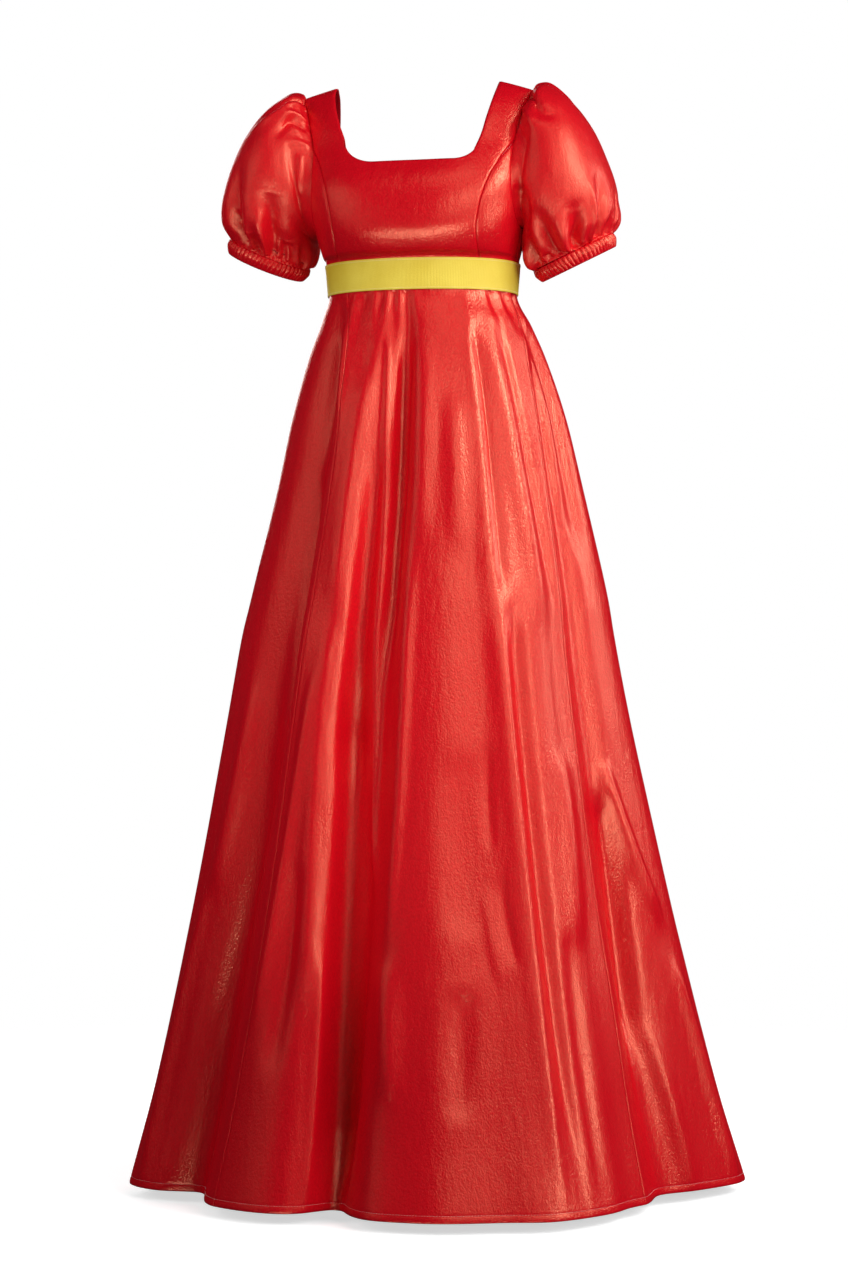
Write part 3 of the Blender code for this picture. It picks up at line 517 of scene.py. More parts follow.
# Small gathers that leave the band: bearing there, bearing and height midway
# and at the end, half width at both ends (mm), height at the band and midway (mm)
SKIRT_GATHERS = [
    (-41, -40, -0.30, -38, -0.34, 5, 7, 2, 1.6), (-34, -33, -0.30, -31, -0.36, 5, 7, -2.4, -1.8),
    (-25, -24, -0.29, -23, -0.33, 4, 6, 2.2, 1.6), (-20, -19, -0.29, -18, -0.34, 4, 6, -2.6, -1.8),
    (-9, -9, -0.29, -8, -0.35, 4, 6, -2.6, -1.8), (-4, -4, -0.28, -4, -0.31, 4, 5, 2, 1.4),
    (1, 1, -0.30, 1, -0.38, 5, 8, -2.8, -2.2), (9, 9, -0.28, 10, -0.31, 4, 5, 1.4, 0.8),
    (62, 62, -0.30, 62, -0.35, 4, 6, -2.4, -2.2), (69, 69, -0.29, 69, -0.33, 3, 5, 2.4, 1.8),
    (74, 74, -0.29, 75, -0.34, 3, 6, -2.8, -2.6), (80, 80, -0.29, 81, -0.33, 3, 5, 2.2, 2),
    (87, 87, -0.30, 89, -0.36, 4, 8, -3, -3), (118, 118, -0.31, 119, -0.38, 6, 9, -2.8, -2.4),
    (127, 127, -0.30, 126, -0.35, 5, 7, 2.4, 1.8), (136, 136, -0.31, 137, -0.40, 5, 9, -2.6, -2.6),
    (145, 145, -0.30, 145, -0.34, 4, 6, 2.2, 1.6), (153, 153, -0.32, 154, -0.42, 5, 10, -2.8, -3),
    (162, 162, -0.30, 161, -0.35, 4, 6, 2.2, 1.6), (171, 171, -0.31, 172, -0.39, 5, 8, -2.6, -2.4),
    (190, 190, -0.31, 189, -0.38, 5, 8, -2.6, -2.4), (198, 198, -0.30, 199, -0.36, 4, 7, 2.2, 1.8),
    (207, 207, -0.32, 206, -0.43, 5, 10, -2.8, -3), (216, 216, -0.30, 216, -0.34, 4, 6, 2.4, 1.6),
    (225, 225, -0.31, 224, -0.40, 5, 9, -2.6, -2.6), (235, 235, -0.30, 235, -0.35, 5, 7, 2.2, 1.8),
    (245, 245, -0.31, 244, -0.39, 6, 9, -2.8, -2.4),
]
GATHER_Z = -0.262
# Creases of the skirt: bearing and height at three places down it, half width
# at both ends (mm), height at the three places (mm), lean
SKIRT_CREASES = [
    # small gathers under the band, front
    (-14, -0.262, -14, -0.29, -13, -0.32, 4, 5, 2.2, 1.4, 0, 0.2),
    # the lobes on the wearer's right
    (-44, -0.31, -37, -0.37, -32, -0.45, 7, 7, 1.5, 4, 1, 0),
    (-50, -0.32, -44, -0.40, -40, -0.52, 9, 12, -2.5, -5, -1.5, 0),
    (-20, -0.36, -22, -0.52, -20, -0.72, 15, 16, 2, 8, 3, 0.3),
    (-11, -0.46, -11.5, -0.68, -11, -0.92, 13, 18, -3, -13, -9, 0),
    (-11.5, -0.72, -10, -1.06, -9, -1.46, 18, 20, -5, -20, -18, 0),
    (-12, -0.31, -8, -0.46, -5.5, -0.66, 5, 8, 1.5, 5.5, 5.5, 0),
    (-5.5, -0.58, -4.5, -0.82, 1, -1.06, 9, 9, 6, 9, 4, 0),
    (0, -0.33, 0.5, -0.52, 1.5, -0.80, 9, 10, -5, -10, -5, -0.3),
    (-59, -0.74, -60, -0.92, -64, -1.06, 16, 16, 0, 8, 2.5, 0),
    (-64, -1.02, -67, -1.20, -66, -1.46, 12, 12, 2.5, 7, 5.5, 0),
    (-36, -0.82, -50, -1.02, -57, -1.26, 16, 16, -1, -5, -5, 0),
    (-43, -0.50, -41, -0.66, -38, -0.86, 10, 12, -1.5, -9.5, -8, 0),
    (-26, -0.74, -29, -0.96, -34, -1.24, 9, 9, 2.5, 6.5, 5, -0.2),
    (-21, -0.66, -21, -0.92, -17, -1.20, 15, 15, 2.5, 7, 6, 0.2),
    (-15.5, -1.10, -14.5, -1.24, -14, -1.46, 9, 8, 1.5, 5.5, 1.5, 0),
    (-24, -0.98, -24.5, -1.12, -26, -1.28, 12, 14, 0, -7, -1.5, 0),
    # centre
    (14, -0.33, 14, -0.45, 12, -0.62, 14, 14, 1.5, 4.5, 1.5, 0),
    (10, -0.58, 9, -0.84, 5, -1.12, 10, 10, 1.5, 5, 3, 0.3),
    (29, -0.40, 29, -0.50, 30, -0.64, 14, 16, 0, 5, 0, 0),
    (28, -0.84, 27, -0.98, 26, -1.10, 24, 24, 0, -5, 0, 0),
    (37, -0.84, 36, -0.92, 36, -0.99, 7, 7, 0, -3, 0, 0.3),
    (37.5, -1.00, 38.5, -1.07, 40, -1.13, 7, 7, 0, -3.5, 0, 0.3),
    (33, -1.02, 34, -1.09, 36, -1.15, 7, 7, 0, 2, 0, -0.2),
    (4, -1.10, 6, -1.20, 7, -1.30, 18, 16, 0, 6.5, 0, 0),
    (27, -1.14, 25, -1.22, 24, -1.32, 16, 18, 0, -6.5, 0, 0),
    # the long ridge on the wearer's left and the steep step beside it
    (38, -0.30, 39, -0.48, 40, -0.70, 14, 14, 1, 3, 2, 0.3),
    (44.5, -0.30, 44.5, -0.48, 45, -0.70, 8, 9, -4, -7, -4, 0),
    (43, -0.66, 44, -0.95, 45, -1.46, 11, 11, 3, 7, 6, 0.4),
    (49, -0.66, 49, -0.95, 50, -1.46, 10, 11, -4, -10, -8, 0),
    (53, -0.32, 56, -0.50, 62, -0.72, 13, 16, 2, 6, 3, 0.2),
    (60, -0.31, 63, -0.48, 69, -0.70, 7, 8, -5, -6, -3, 0),
    (64, -0.84, 63, -0.98, 60, -1.12, 18, 18, 0, 8, 0, 0),
    (57, -1.06, 56, -1.22, 56, -1.46, 14, 14, 0, -7, -2.5, 0),
    (79, -0.32, 84, -0.42, 83, -0.60, 12, 12, 2, 7, 2, 0),
    (92, -0.30, 90, -0.43, 88, -0.64, 18, 18, -5, -12, -4, 0),
    (86, -0.86, 90, -0.96, 98, -1.10, 13, 13, 0, 9, 5, 0.3),
    (84, -0.90, 85, -1.06, 83, -1.28, 15, 15, -2, -16, -5, 0),
    (98, -1.12, 101, -1.26, 102, -1.46, 12, 12, 2.5, 7.5, 5, 0.2),
    (88, -1.20, 90, -1.30, 92, -1.46, 15, 15, 0, 7, 1.5, 0),
    # back, either side of the closure
    (124, -0.40, 127, -0.62, 128, -0.86, 14, 16, 1, 6.5, 1.5, 0.3),
    (144, -0.48, 143, -0.74, 146, -1.02, 13, 15, 0, -7, -1.5, 0),
    (158, -0.42, 157, -0.66, 159, -0.95, 12, 15, 0, 6, 1.5, -0.2),
    (170, -0.60, 169, -0.86, 170, -1.16, 12, 14, 0, -6.5, -1.5, 0),
    (196, -0.50, 197, -0.78, 195, -1.08, 12, 15, 0, 6, 1.5, 0.3),
    (211, -0.44, 212, -0.70, 215, -0.98, 13, 15, 0, -7, -1.5, 0),
    (226, -0.42, 224, -0.64, 226, -0.92, 14, 15, 1, 6.5, 1.5, -0.2),
    (240, -0.54, 241, -0.80, 240, -1.10, 13, 16, 0, -6.5, -1.5, 0),
    (131, -0.94, 133, -1.16, 132, -1.46, 15, 17, 0, 8, 5, 0.2),
    (152, -1.00, 153, -1.20, 151, -1.46, 13, 14, 0, -8, -5, 0),
    (176, -1.02, 177, -1.22, 176, -1.46, 12, 14, 0, 6, 3, 0),
    (204, -1.04, 202, -1.22, 203, -1.46, 14, 15, 0, 7, 5, 0.2),
    (221, -0.96, 220, -1.18, 222, -1.46, 13, 15, 0, -8, -5, 0),
    (252, -0.90, 254, -1.14, 252, -1.46, 14, 15, 0, 7, 3, -0.2),
    (266, -0.60, 267, -0.86, 266, -1.12, 12, 14, 0, -6.5, -1.5, 0),
    (110, -0.62, 111, -0.90, 114, -1.20, 14, 16, 0, -8, -3, 0),
]
SKIRT_CREASES += [(top, GATHER_Z, mid, mid_z, end, end_z, first, last, h0, h1, 0, 0)
                  for top, mid, mid_z, end, end_z, first, last, h0, h1 in SKIRT_GATHERS]
CREASE_FADE = 0.18        # share of a crease's length over which each end dies out
HEM_STITCH_MM = 9.0       # stitch line above the hem's edge
FOLD_SOFTENING = 14       # passes that round the skirt's large folds
SKIRT_UNEVEN_FROM_MM, SKIRT_UNEVEN_FULL_MM = 4.0, 100.0  # below the band, where unevenness grows
# The skirt's grid: fine rows down to a height, then coarser ones to just above
# the hem, close rows at the hem (mm above it), and columns round the hem
FINE_DOWN_TO, FINE_ROW, ROW_BETWEEN, COARSE_ROW, COARSE_ENDS = -0.335, 0.0026, 0.004, 0.0058, 0.016
HEM_ROWS_MM = (14.0, 12.0, 10.5, 9.0, 7.5, 6.0, 4.0, 2.2, 0.9, 0.0)
SKIRT_COLUMN_MM = 5.0
SEAM_COLUMN = 0.022       # first column beside each seam, in folds


def skirt_heights():
    """Heights of a skirt panel's rows, from the waist seam to the hem."""
    upper = np.arange(WAIST_SEAM_Z - 2 * SEAM, FINE_DOWN_TO, -FINE_ROW)
    middle = np.arange(upper[-1] - ROW_BETWEEN, HEM_Z + COARSE_ENDS, -COARSE_ROW)
    return np.concatenate([upper, middle, [HEM_Z + 0.001 * up for up in HEM_ROWS_MM]])


def skirt_columns(first, last):
    """Places from one seam of the skirt to the next, counted in folds."""
    a, b = FOLD_NAMES.index(first), FOLD_NAMES.index(last)
    b += FOLD_COUNT if b <= a else 0
    places = []
    for fold in range(a, b):
        ends = skirt_ring(np.array([fold, fold + 0.999]), HEM_Z)
        count = max(6, int(np.linalg.norm(ends[1] - ends[0]) * 1000 / SKIRT_COLUMN_MM))
        places.append(fold + np.arange(count) / count)
    near = np.array((0, 1, 3)) * SEAM_COLUMN
    places = np.concatenate([a + near, np.concatenate(places)[1:], b - near[::-1]])
    return np.unique(np.round(places, 6))


def skirt_panel(first, last):
    """A skirt panel's grid between two seams, and the heights of its rows."""
    places, heights = skirt_columns(first, last), skirt_heights()
    beyond = np.concatenate([[places[0] - SEAM_COLUMN], places, [places[-1] + SEAM_COLUMN]])
    aside = np.zeros(len(beyond))
    aside[1], aside[-2] = SEAM, -SEAM
    wide = np.array([skirt_ring(beyond, z, aside) for z in heights])
    for _ in range(FOLD_SOFTENING):
        wide[:, 2:-2] = (wide[:, 1:-3] + 2 * wide[:, 2:-2] + wide[:, 3:-1]) / 4
    points, normals = wide[:, 1:-1], grid_normals(wide)[:, 1:-1]
    down = 1000.0 * (BAND_BOTTOM_Z - heights)[:, None]
    up = 1000.0 * (heights - HEM_Z)[:, None]
    relief = crease_relief(points, normals, skirt_place, SKIRT_CREASES, CREASE_FADE)
    relief += uneven_cloth(points, SKIRT_UNEVEN, 1) * smooth(SKIRT_UNEVEN_FROM_MM, SKIRT_UNEVEN_FULL_MM, down)
    relief *= smooth(-0.5, 3.0, down)            # level under the band
    relief += smooth(0.0, 12.0, down) * groove(side_distance(points), SKIRT_SEAM_LINE)
    relief += groove(up - HEM_STITCH_MM, STITCHED_LINE) + groove(up, HEM_EDGE)
    return points + normals * relief[..., None], heights


def side_distance(points):
    """Distance of each column to the nearer side edge, row by row, in mm."""
    from_start = line_length(points, axis=1)
    return 1000.0 * np.minimum(from_start, from_start[:, -1:] - from_start)


# ----------------------------------------------------------- bodice panels
def line_distance(points, lines):
    """Distance in mm from every grid point to the nearest of some lines."""
    dense = []
    for line in lines:
        line = line[np.isfinite(line).all(axis=-1)]
        for f in np.arange(4) / 4.0:
            dense.append(line[:-1] * (1 - f) + line[1:] * f)
        dense.append(line[-1:])
    dense = np.concatenate(dense)
    search = KDTree(len(dense))
    for i, p in enumerate(dense):
        search.insert(Vector(p), i)
    search.balance()
    out = np.full(points.shape[:2], 1e3)
    for index in np.argwhere(np.isfinite(points).all(axis=-1)):
        out[tuple(index)] = 1000.0 * search.find(Vector(points[tuple(index)]))[2]
    return out


def torso_cloth(bearing, k, centred=False):
    """Points and outward normals of the worn bodice at bearings and levels."""
    step_b, step_k = 0.2, 0.01
    points = torso(bearing, k, centred)
    across = torso(bearing + step_b, k) - torso(bearing - step_b, k)
    up = torso(bearing, np.minimum(k + step_k, TORSO_TOP)) - torso(bearing, k - step_k)
    return points, unit(np.cross(across, up))


STRAP_SHARE = 0.685       # where the strap's inner edge meets the front, of its half width
CENTRE_SHARE = 0.36       # where the neckline's corner starts to rise
# Rounded corners of the neckline: height, and length along the front edge
CORNER = {1: (0.019, 0.027), -1: (0.033, 0.044)}
STRAP_FOOT = 7.25         # level where the strap's own rows start
NECK_OUTER_Z = -0.104     # the neckline row where it meets the princess seam
STRAP_COLUMNS, CORNER_COLUMNS, CENTRE_COLUMNS = 17, 20, 26
FRONT_BODY_TOP_Z, BACK_BODY_TOP_Z = -0.130, -0.120       # level rows end here
SHIFT_FROM_Z, SHIFT_FULL_Z = -0.20, -0.11        # the front panel leans over between these
SEAM_BEARING = math.degrees(SEAM / 0.10)         # half a seam's space, 0.1 m from the axis
# Rows of the front and the back: up the body, on to the neckline, joining the
# strap, up the strap
FRONT_ROWS, BACK_ROWS = (52, 14, 8, 60), (56, 13, 5, 52)


def neckline(side):
    """Half the neckline row, outside in: distance from the middle and height."""
    corner_rise, corner_reach = CORNER[side]
    top = NECK_FRONT_Z + corner_rise
    inner = float(lookup(STRAP, NECK_FRONT, top))
    outer = float(lookup(PRINCESS, 1, NECK_OUTER_Z)) - SEAM
    f = np.linspace(0.0, 1.0, STRAP_COLUMNS)
    strap_x, strap_z = outer + (inner - outer) * f, NECK_OUTER_Z + (top - NECK_OUTER_Z) * f
    a = np.linspace(math.pi / 2, 0.0, CORNER_COLUMNS)[1:]
    corner_x = inner - corner_reach * (1 - np.sin(a))
    corner_z = top - corner_rise * np.cos(a)
    centre_x = np.linspace(inner - corner_reach, 0.0, CENTRE_COLUMNS)[1:]
    x = np.concatenate([strap_x, corner_x, centre_x])
    z = np.concatenate([strap_z, corner_z, np.full(len(centre_x), NECK_FRONT_Z)])
    return x, z


def strap_rows(foot, joining, climbing):
    """Level of each strap row, and how far it has joined the strap's own columns."""
    return ([(foot, f) for f in np.linspace(0.0, 1.0, joining)[1:]]
            + [(k, 1.0) for k in np.linspace(foot, TORSO_TOP, climbing)[1:]])


def front_grid():
    """Bearing and level of the centre front, with empty cells inside the neckline.

    Level rows rise to FRONT_BODY_TOP_Z, the next ones bend to the neckline,
    and the last ones climb the straps.  The third value is the neckline's row.
    """
    strap = np.linspace(0.0, 1.0, STRAP_COLUMNS)
    shares = np.concatenate([
        1.0 - (1.0 - STRAP_SHARE) * strap,
        np.linspace(STRAP_SHARE, CENTRE_SHARE, CORNER_COLUMNS)[1:],
        np.linspace(CENTRE_SHARE, 0.0, CENTRE_COLUMNS)[1:]])
    body_rows, bend_rows, *climb = FRONT_ROWS
    body = np.linspace(WAIST_SEAM_Z, FRONT_BODY_TOP_Z, body_rows)
    bend = np.linspace(0.0, 1.0, bend_rows)[1:]
    ease = np.where(shares < 0.5, 1.0, 4 * shares * (1 - shares))
    inward = np.concatenate([strap, np.ones(len(shares) - STRAP_COLUMNS)])
    empty = np.full(len(shares) - STRAP_COLUMNS, np.nan)
    sides = []
    for side in (-1, 1):
        neck_x, neck_z = neckline(side)
        neck_x = side * neck_x + NECK_SHIFT * smooth(0.0, NECK_GROW_Z, neck_z) * inward
        rows = []
        for z in body:
            edge = lookup(PRINCESS, 1, z) - SEAM
            x = side * edge * shares + NECK_SHIFT * smooth(SHIFT_FROM_Z, SHIFT_FULL_Z, z) * ease
            rows.append((x, np.full(len(x), z)))
        last_x, last_z = rows[-1]
        rows += [(last_x + (neck_x - last_x) * f, last_z + (neck_z - last_z) * f) for f in bend]
        bearings = [bearing_at(x, level(z)) for x, z in rows]
        levels = [level(z) for x, z in rows]
        foot_x, foot_k = rows[-1][0][:STRAP_COLUMNS], levels[-1][:STRAP_COLUMNS]
        for value, join in strap_rows(STRAP_FOOT, *climb):
            k = np.full(STRAP_COLUMNS, value)
            z = height_of(k)
            outer, inner = lookup(STRAP, ARMHOLE_FRONT, z), lookup(STRAP, NECK_FRONT, z)
            x = side * (outer + (inner - outer) * strap) + NECK_SHIFT * smooth(0.0, NECK_GROW_Z, z) * strap
            x = foot_x + (x - foot_x) * join
            k = foot_k + (k - foot_k) * join
            z = height_of(k[0])
            seam = lookup(PRINCESS, 1, z) - SEAM if z < PRINCESS_TOP_Z else lookup(STRAP, ARMHOLE_FRONT, z)
            x[0] = side * seam
            bearings.append(np.concatenate([bearing_at(x, k), empty]))
            levels.append(np.concatenate([k, empty]))
        sides.append((np.array(bearings), np.array(levels)))
    bearing, k = (np.concatenate([right, left[:, ::-1][:, 1:]], axis=1) for right, left in zip(*sides))
    return bearing, k, len(rows) - 1


def bodice_relief(points, normals, seams, edges):
    """Raises a bodice panel's unevenness and presses its seams and turned edges in."""
    relief = uneven_cloth(points, BODICE_UNEVEN, 3)
    relief *= smooth(BAND_TOP_Z + 0.0005, BAND_TOP_Z + 0.012, points[..., 2])
    relief += groove(line_distance(points, seams), SEAM_LINE)
    if edges:
        relief += groove(line_distance(points, edges), TURNED_EDGE)
    return points + normals * relief[..., None]


def bodice_front():
    bearing, k, neck_row = front_grid()
    points, normals = torso_cloth(bearing, k)
    seams = [points[:, 0], points[:, -1], points[0]]
    inner = STRAP_COLUMNS - 1
    edges = [points[neck_row:, inner], points[neck_row:, -inner - 1], points[neck_row, inner:-inner]]
    return bodice_relief(points, normals, seams, edges)


def bodice_side_front(side):
    """The side front: waist, princess seam, armhole, side seam."""
    u = np.concatenate([[0.0, 0.025], np.linspace(0.06, 0.94, 26), [0.975, 1.0]])
    v = np.linspace(0.0, 1.0, 76)
    uu, vv = np.meshgrid(u, v)
    first = bearing_at(lookup(PRINCESS, 1, WAIST_SEAM_Z), level(WAIST_SEAM_Z))
    start = armhole_at(PRINCESS_TOP_Z)
    top_bearing, top_k = armhole(start + (1.0 - start) * u)
    inner_z = WAIST_SEAM_Z + (PRINCESS_TOP_Z - WAIST_SEAM_Z) * v
    inner_bearing = bearing_at(lookup(PRINCESS, 1, inner_z), level(inner_z))
    outer_z = WAIST_SEAM_Z + (ARMPIT_Z - WAIST_SEAM_Z) * v

    def patch(bottom, top, left, right):
        corners = ((1 - uu) * (1 - vv) * bottom[0] + uu * (1 - vv) * bottom[-1]
                   + (1 - uu) * vv * top[0] + uu * vv * top[-1])
        return ((1 - vv) * bottom[None, :] + vv * top[None, :]
                + (1 - uu) * left[:, None] + uu * right[:, None] - corners)

    bearing = patch(first + (90.0 - first) * u, top_bearing, inner_bearing, np.full(len(v), 90.0))
    k = level(patch(np.full(len(u), WAIST_SEAM_Z), height_of(top_k), inner_z, outer_z))
    bearing[:, 0] += SEAM_BEARING
    bearing[:, -1] -= SEAM_BEARING
    points, normals = torso_cloth(side * bearing, k)
    return bodice_relief(points, normals, [points[:, 0], points[:, -1], points[0], points[-1]], [])


BACK_FOOT = 7.3           # level where the back strap's own rows start
BACK_RISE = 0.004         # the back neckline's corners rise by this
BACK_STRAP_BEARING = 122.0        # where the strap's columns reach the waist
BACK_STRAP_COLUMNS = 13


def back_grid():
    """Bearing and level of half the back, with its strap; the neckline's row."""
    neck = bearing_at(lookup(STRAP, NECK_BACK, NECK_BACK_Z), level(NECK_BACK_Z), True)
    strap = np.linspace(0.0, 1.0, BACK_STRAP_COLUMNS)
    across = np.concatenate([np.linspace(0.0, 1.0, 30)[1:-1], [0.985, 1.0]])
    n = len(strap)
    rises = BACK_RISE * np.concatenate([np.ones(n), np.clip(1 - across / 0.25, 0, 1) ** 2])
    body_rows, bend_rows, *climb = BACK_ROWS
    heights = np.linspace(WAIST_SEAM_Z, BACK_BODY_TOP_Z, body_rows)
    z_rows = [np.full(len(rises), z) for z in heights]
    neck_z = NECK_BACK_Z + rises
    z_rows += [heights[-1] + (neck_z - heights[-1]) * f for f in np.linspace(0.0, 1.0, bend_rows)[1:]]
    bearings, levels = [], []
    for z in z_rows:
        first = np.where(z > ARMPIT_Z, armhole(armhole_at(z, True), True)[0], 90.0 + SEAM_BEARING)
        corner = neck + (BACK_STRAP_BEARING - neck) * smooth(-0.12, -0.22, z)
        outer = first[:n] + (corner[:n] - first[:n]) * strap
        inner = corner[n:] + (180.0 - SEAM_BEARING - corner[n:]) * across
        bearings.append(np.concatenate([outer, inner]))
        levels.append(level(z))
    foot_bearing, foot_k = bearings[-1][:n], levels[-1][:n]
    empty = np.full(len(across), np.nan)
    for value, join in strap_rows(BACK_FOOT, *climb):
        k = np.full(n, value)
        z = height_of(k)
        outer, inner = lookup(STRAP, ARMHOLE_BACK, z), lookup(STRAP, NECK_BACK, z)
        bearing = bearing_at(outer + (inner - outer) * strap, k, True)
        bearings.append(np.concatenate([foot_bearing + (bearing - foot_bearing) * join, empty]))
        levels.append(np.concatenate([foot_k + (k - foot_k) * join, empty]))
    return np.array(bearings), np.array(levels), len(z_rows) - 1


def bodice_back(side):
    bearing, k, neck_row = back_grid()
    points, normals = torso_cloth(side * bearing, k)
    inner = BACK_STRAP_COLUMNS - 1
    seams = [points[:, 0], points[:neck_row + 1, -1], points[0]]
    return bodice_relief(points, normals, seams, [points[neck_row:, inner], points[neck_row, inner:]])


# -------------------------------------------------------------------- band
BAND_COLUMNS = 300
BAND_OFF = 0.0017         # ribbon's face from the bodice's
RIBBON_RIBS = 350         # cross ribs of the ribbon round the waist
# rows up the ribbon (mm): close together at its woven edges
BAND_ROWS_MM = np.concatenate([[0.0, 0.8, 2.2], np.linspace(4.5, 35.3, 12), [37.6, 39.0, 39.8]])


def waist_band():
    bearing = np.linspace(SEAM_BEARING - 180.0, 180.0 - SEAM_BEARING, BAND_COLUMNS)
    rows = []
    for z in BAND_BOTTOM_Z + 0.001 * BAND_ROWS_MM:
        k = np.full(len(bearing), level(z))
        ahead, behind = torso(bearing + 0.5, k), torso(bearing - 0.5, k)
        outward = unit(np.cross(ahead - behind, np.array((0.0, 0.0, 1.0))))
        rows.append(torso(bearing, k) + outward * BAND_OFF)
    points = np.array(rows)
    soft = uneven_cloth(points, BAND_UNEVEN, 3)
    soft[:, :2] = soft[:, -2:] = 0.0
    return points - grid_normals(points) * np.abs(soft)[..., None]


# ----------------------------------------------------------------- sleeves
SLEEVE_COLUMNS = 264
# rows down the sleeve, counted in rings: closer at the cap and near the cuff
SLEEVE_ROWS = np.concatenate([np.linspace(0.0, 0.5, 10)[:-1], np.linspace(0.5, 8.2, 84)[:-1],
                              np.linspace(8.2, LAST_RING, 26)])


def armhole_rings():
    """The armhole line, and where the sleeve tucks in behind the bodice's edge."""
    half, t = SLEEVE_COLUMNS // 2, np.linspace(0.0, 1.0, 400)
    line, outward = [], []
    for back in (False, True):
        for found, values in zip((line, outward), torso_cloth(*armhole(t, back), centred=True)):
            found.append(along_line(values, values, np.linspace(0.0, line_length(values)[-1], half + 1)))
    ring, outward = (np.concatenate([front, back[::-1][1:-1]]) for front, back in (line, outward))
    outward = unit(outward)
    run = unit(np.roll(ring, -1, axis=0) - np.roll(ring, 1, axis=0))
    inward = np.cross(outward, run)
    inward *= -np.sign(inward[:, 0].mean())
    return (ring - inward * TUCK_STEP - outward * TUCK_DEPTH * RING_SHARE,
            ring + inward * TUCK_LAP - outward * TUCK_DEPTH)


def swayed(ring, side):
    """A ring at the left armhole, moved with the gown's own lean."""
    return ring + sway(ring[:, 2:]) * (side, 0.0, 0.0)


ARMHOLE_RING, ARMHOLE_TUCK = armhole_rings()


def sleeve_rings(side):
    """The sleeve's ten rings, drawn for the wearer's left."""
    a = 2.0 * math.pi * np.arange(SLEEVE_COLUMNS) / SLEEVE_COLUMNS
    rings = [swayed(ARMHOLE_RING, side)]
    for i, (ox, oz, ix, iz, front, back, y, drop) in enumerate(SLEEVE[1:], 1):
        power = 2.0 / SLEEVE_SQUARE if i < LAST_RING - 1 else 1.0
        up = np.copysign(np.abs(np.cos(a)) ** power, np.cos(a))
        ahead = np.copysign(np.abs(np.sin(a)) ** power, np.sin(a))
        shift, lift = (v * smooth(HANG_FROM, HANG_FULL, float(i)) for v in SLEEVE_HANG[side])
        rings.append(np.stack([(ox + ix) / 2 + (ox - ix) / 2 * up + shift,
                               y - np.where(ahead > 0, front, back) * ahead,
                               (oz + iz) / 2 + (oz - iz) / 2 * up - FRONT_DROP[side] * drop * ahead + lift],
                              axis=-1))
    return np.array(rings)


def fold_relief(turn, v):
    """Height of the sleeve's large folds at a bearing round it and a ring."""
    cap = np.exp(-((v - CAP_AT) / CAP_SPREAD) ** 2) * smooth(0.0, 0.6, v)
    low = np.exp(-((v - BLOUSE_AT) / BLOUSE_SPREAD) ** 2) * smooth(LAST_RING, LAST_RING - 0.7, v)
    relief = np.zeros(np.broadcast(turn, v).shape)
    for bearing, at_cap, at_cuff, half in SLEEVE_FOLDS:
        relief += (at_cap * cap + at_cuff * low) * np.exp(-(away_from(bearing, turn) / half) ** 2)
    return 0.001 * relief


def uneven(n, seed):
    """A repeatable value from -1 to 1 for the n-th gather."""
    return 2.0 * ((n * 0.6180339887 + seed * 0.7548776662) % 1.0) - 1.0


def gather_relief(turn, along, gathers, seed):
    """Small gathers that leave a seam at uneven places and die out.

    along is the distance from the seam in mm.
    """
    count, reach_mm, height_mm = gathers
    relief = np.zeros(np.broadcast(turn, along).shape)
    pitch = 360.0 / count
    for n in range(count):
        centre = (n + GATHER_WANDER * uneven(n, seed)) * pitch + along * GATHER_LEAN * uneven(n, seed + 1)
        reach = reach_mm * (1.0 + REACH_VARY * uneven(n, seed + 2))
        height = height_mm * (1.0 + HEIGHT_VARY * uneven(n, seed + 3))
        half = pitch * GATHER_HALF * (1.0 + along / reach_mm * GATHER_SPREAD)
        fade = np.exp(-(along / reach) ** 1.6)
        ridge = np.exp(-(away_from(centre, turn) / half) ** 2)
        relief += height * fade * (ridge - half * math.sqrt(math.pi) / 360.0)
    return 0.001 * relief


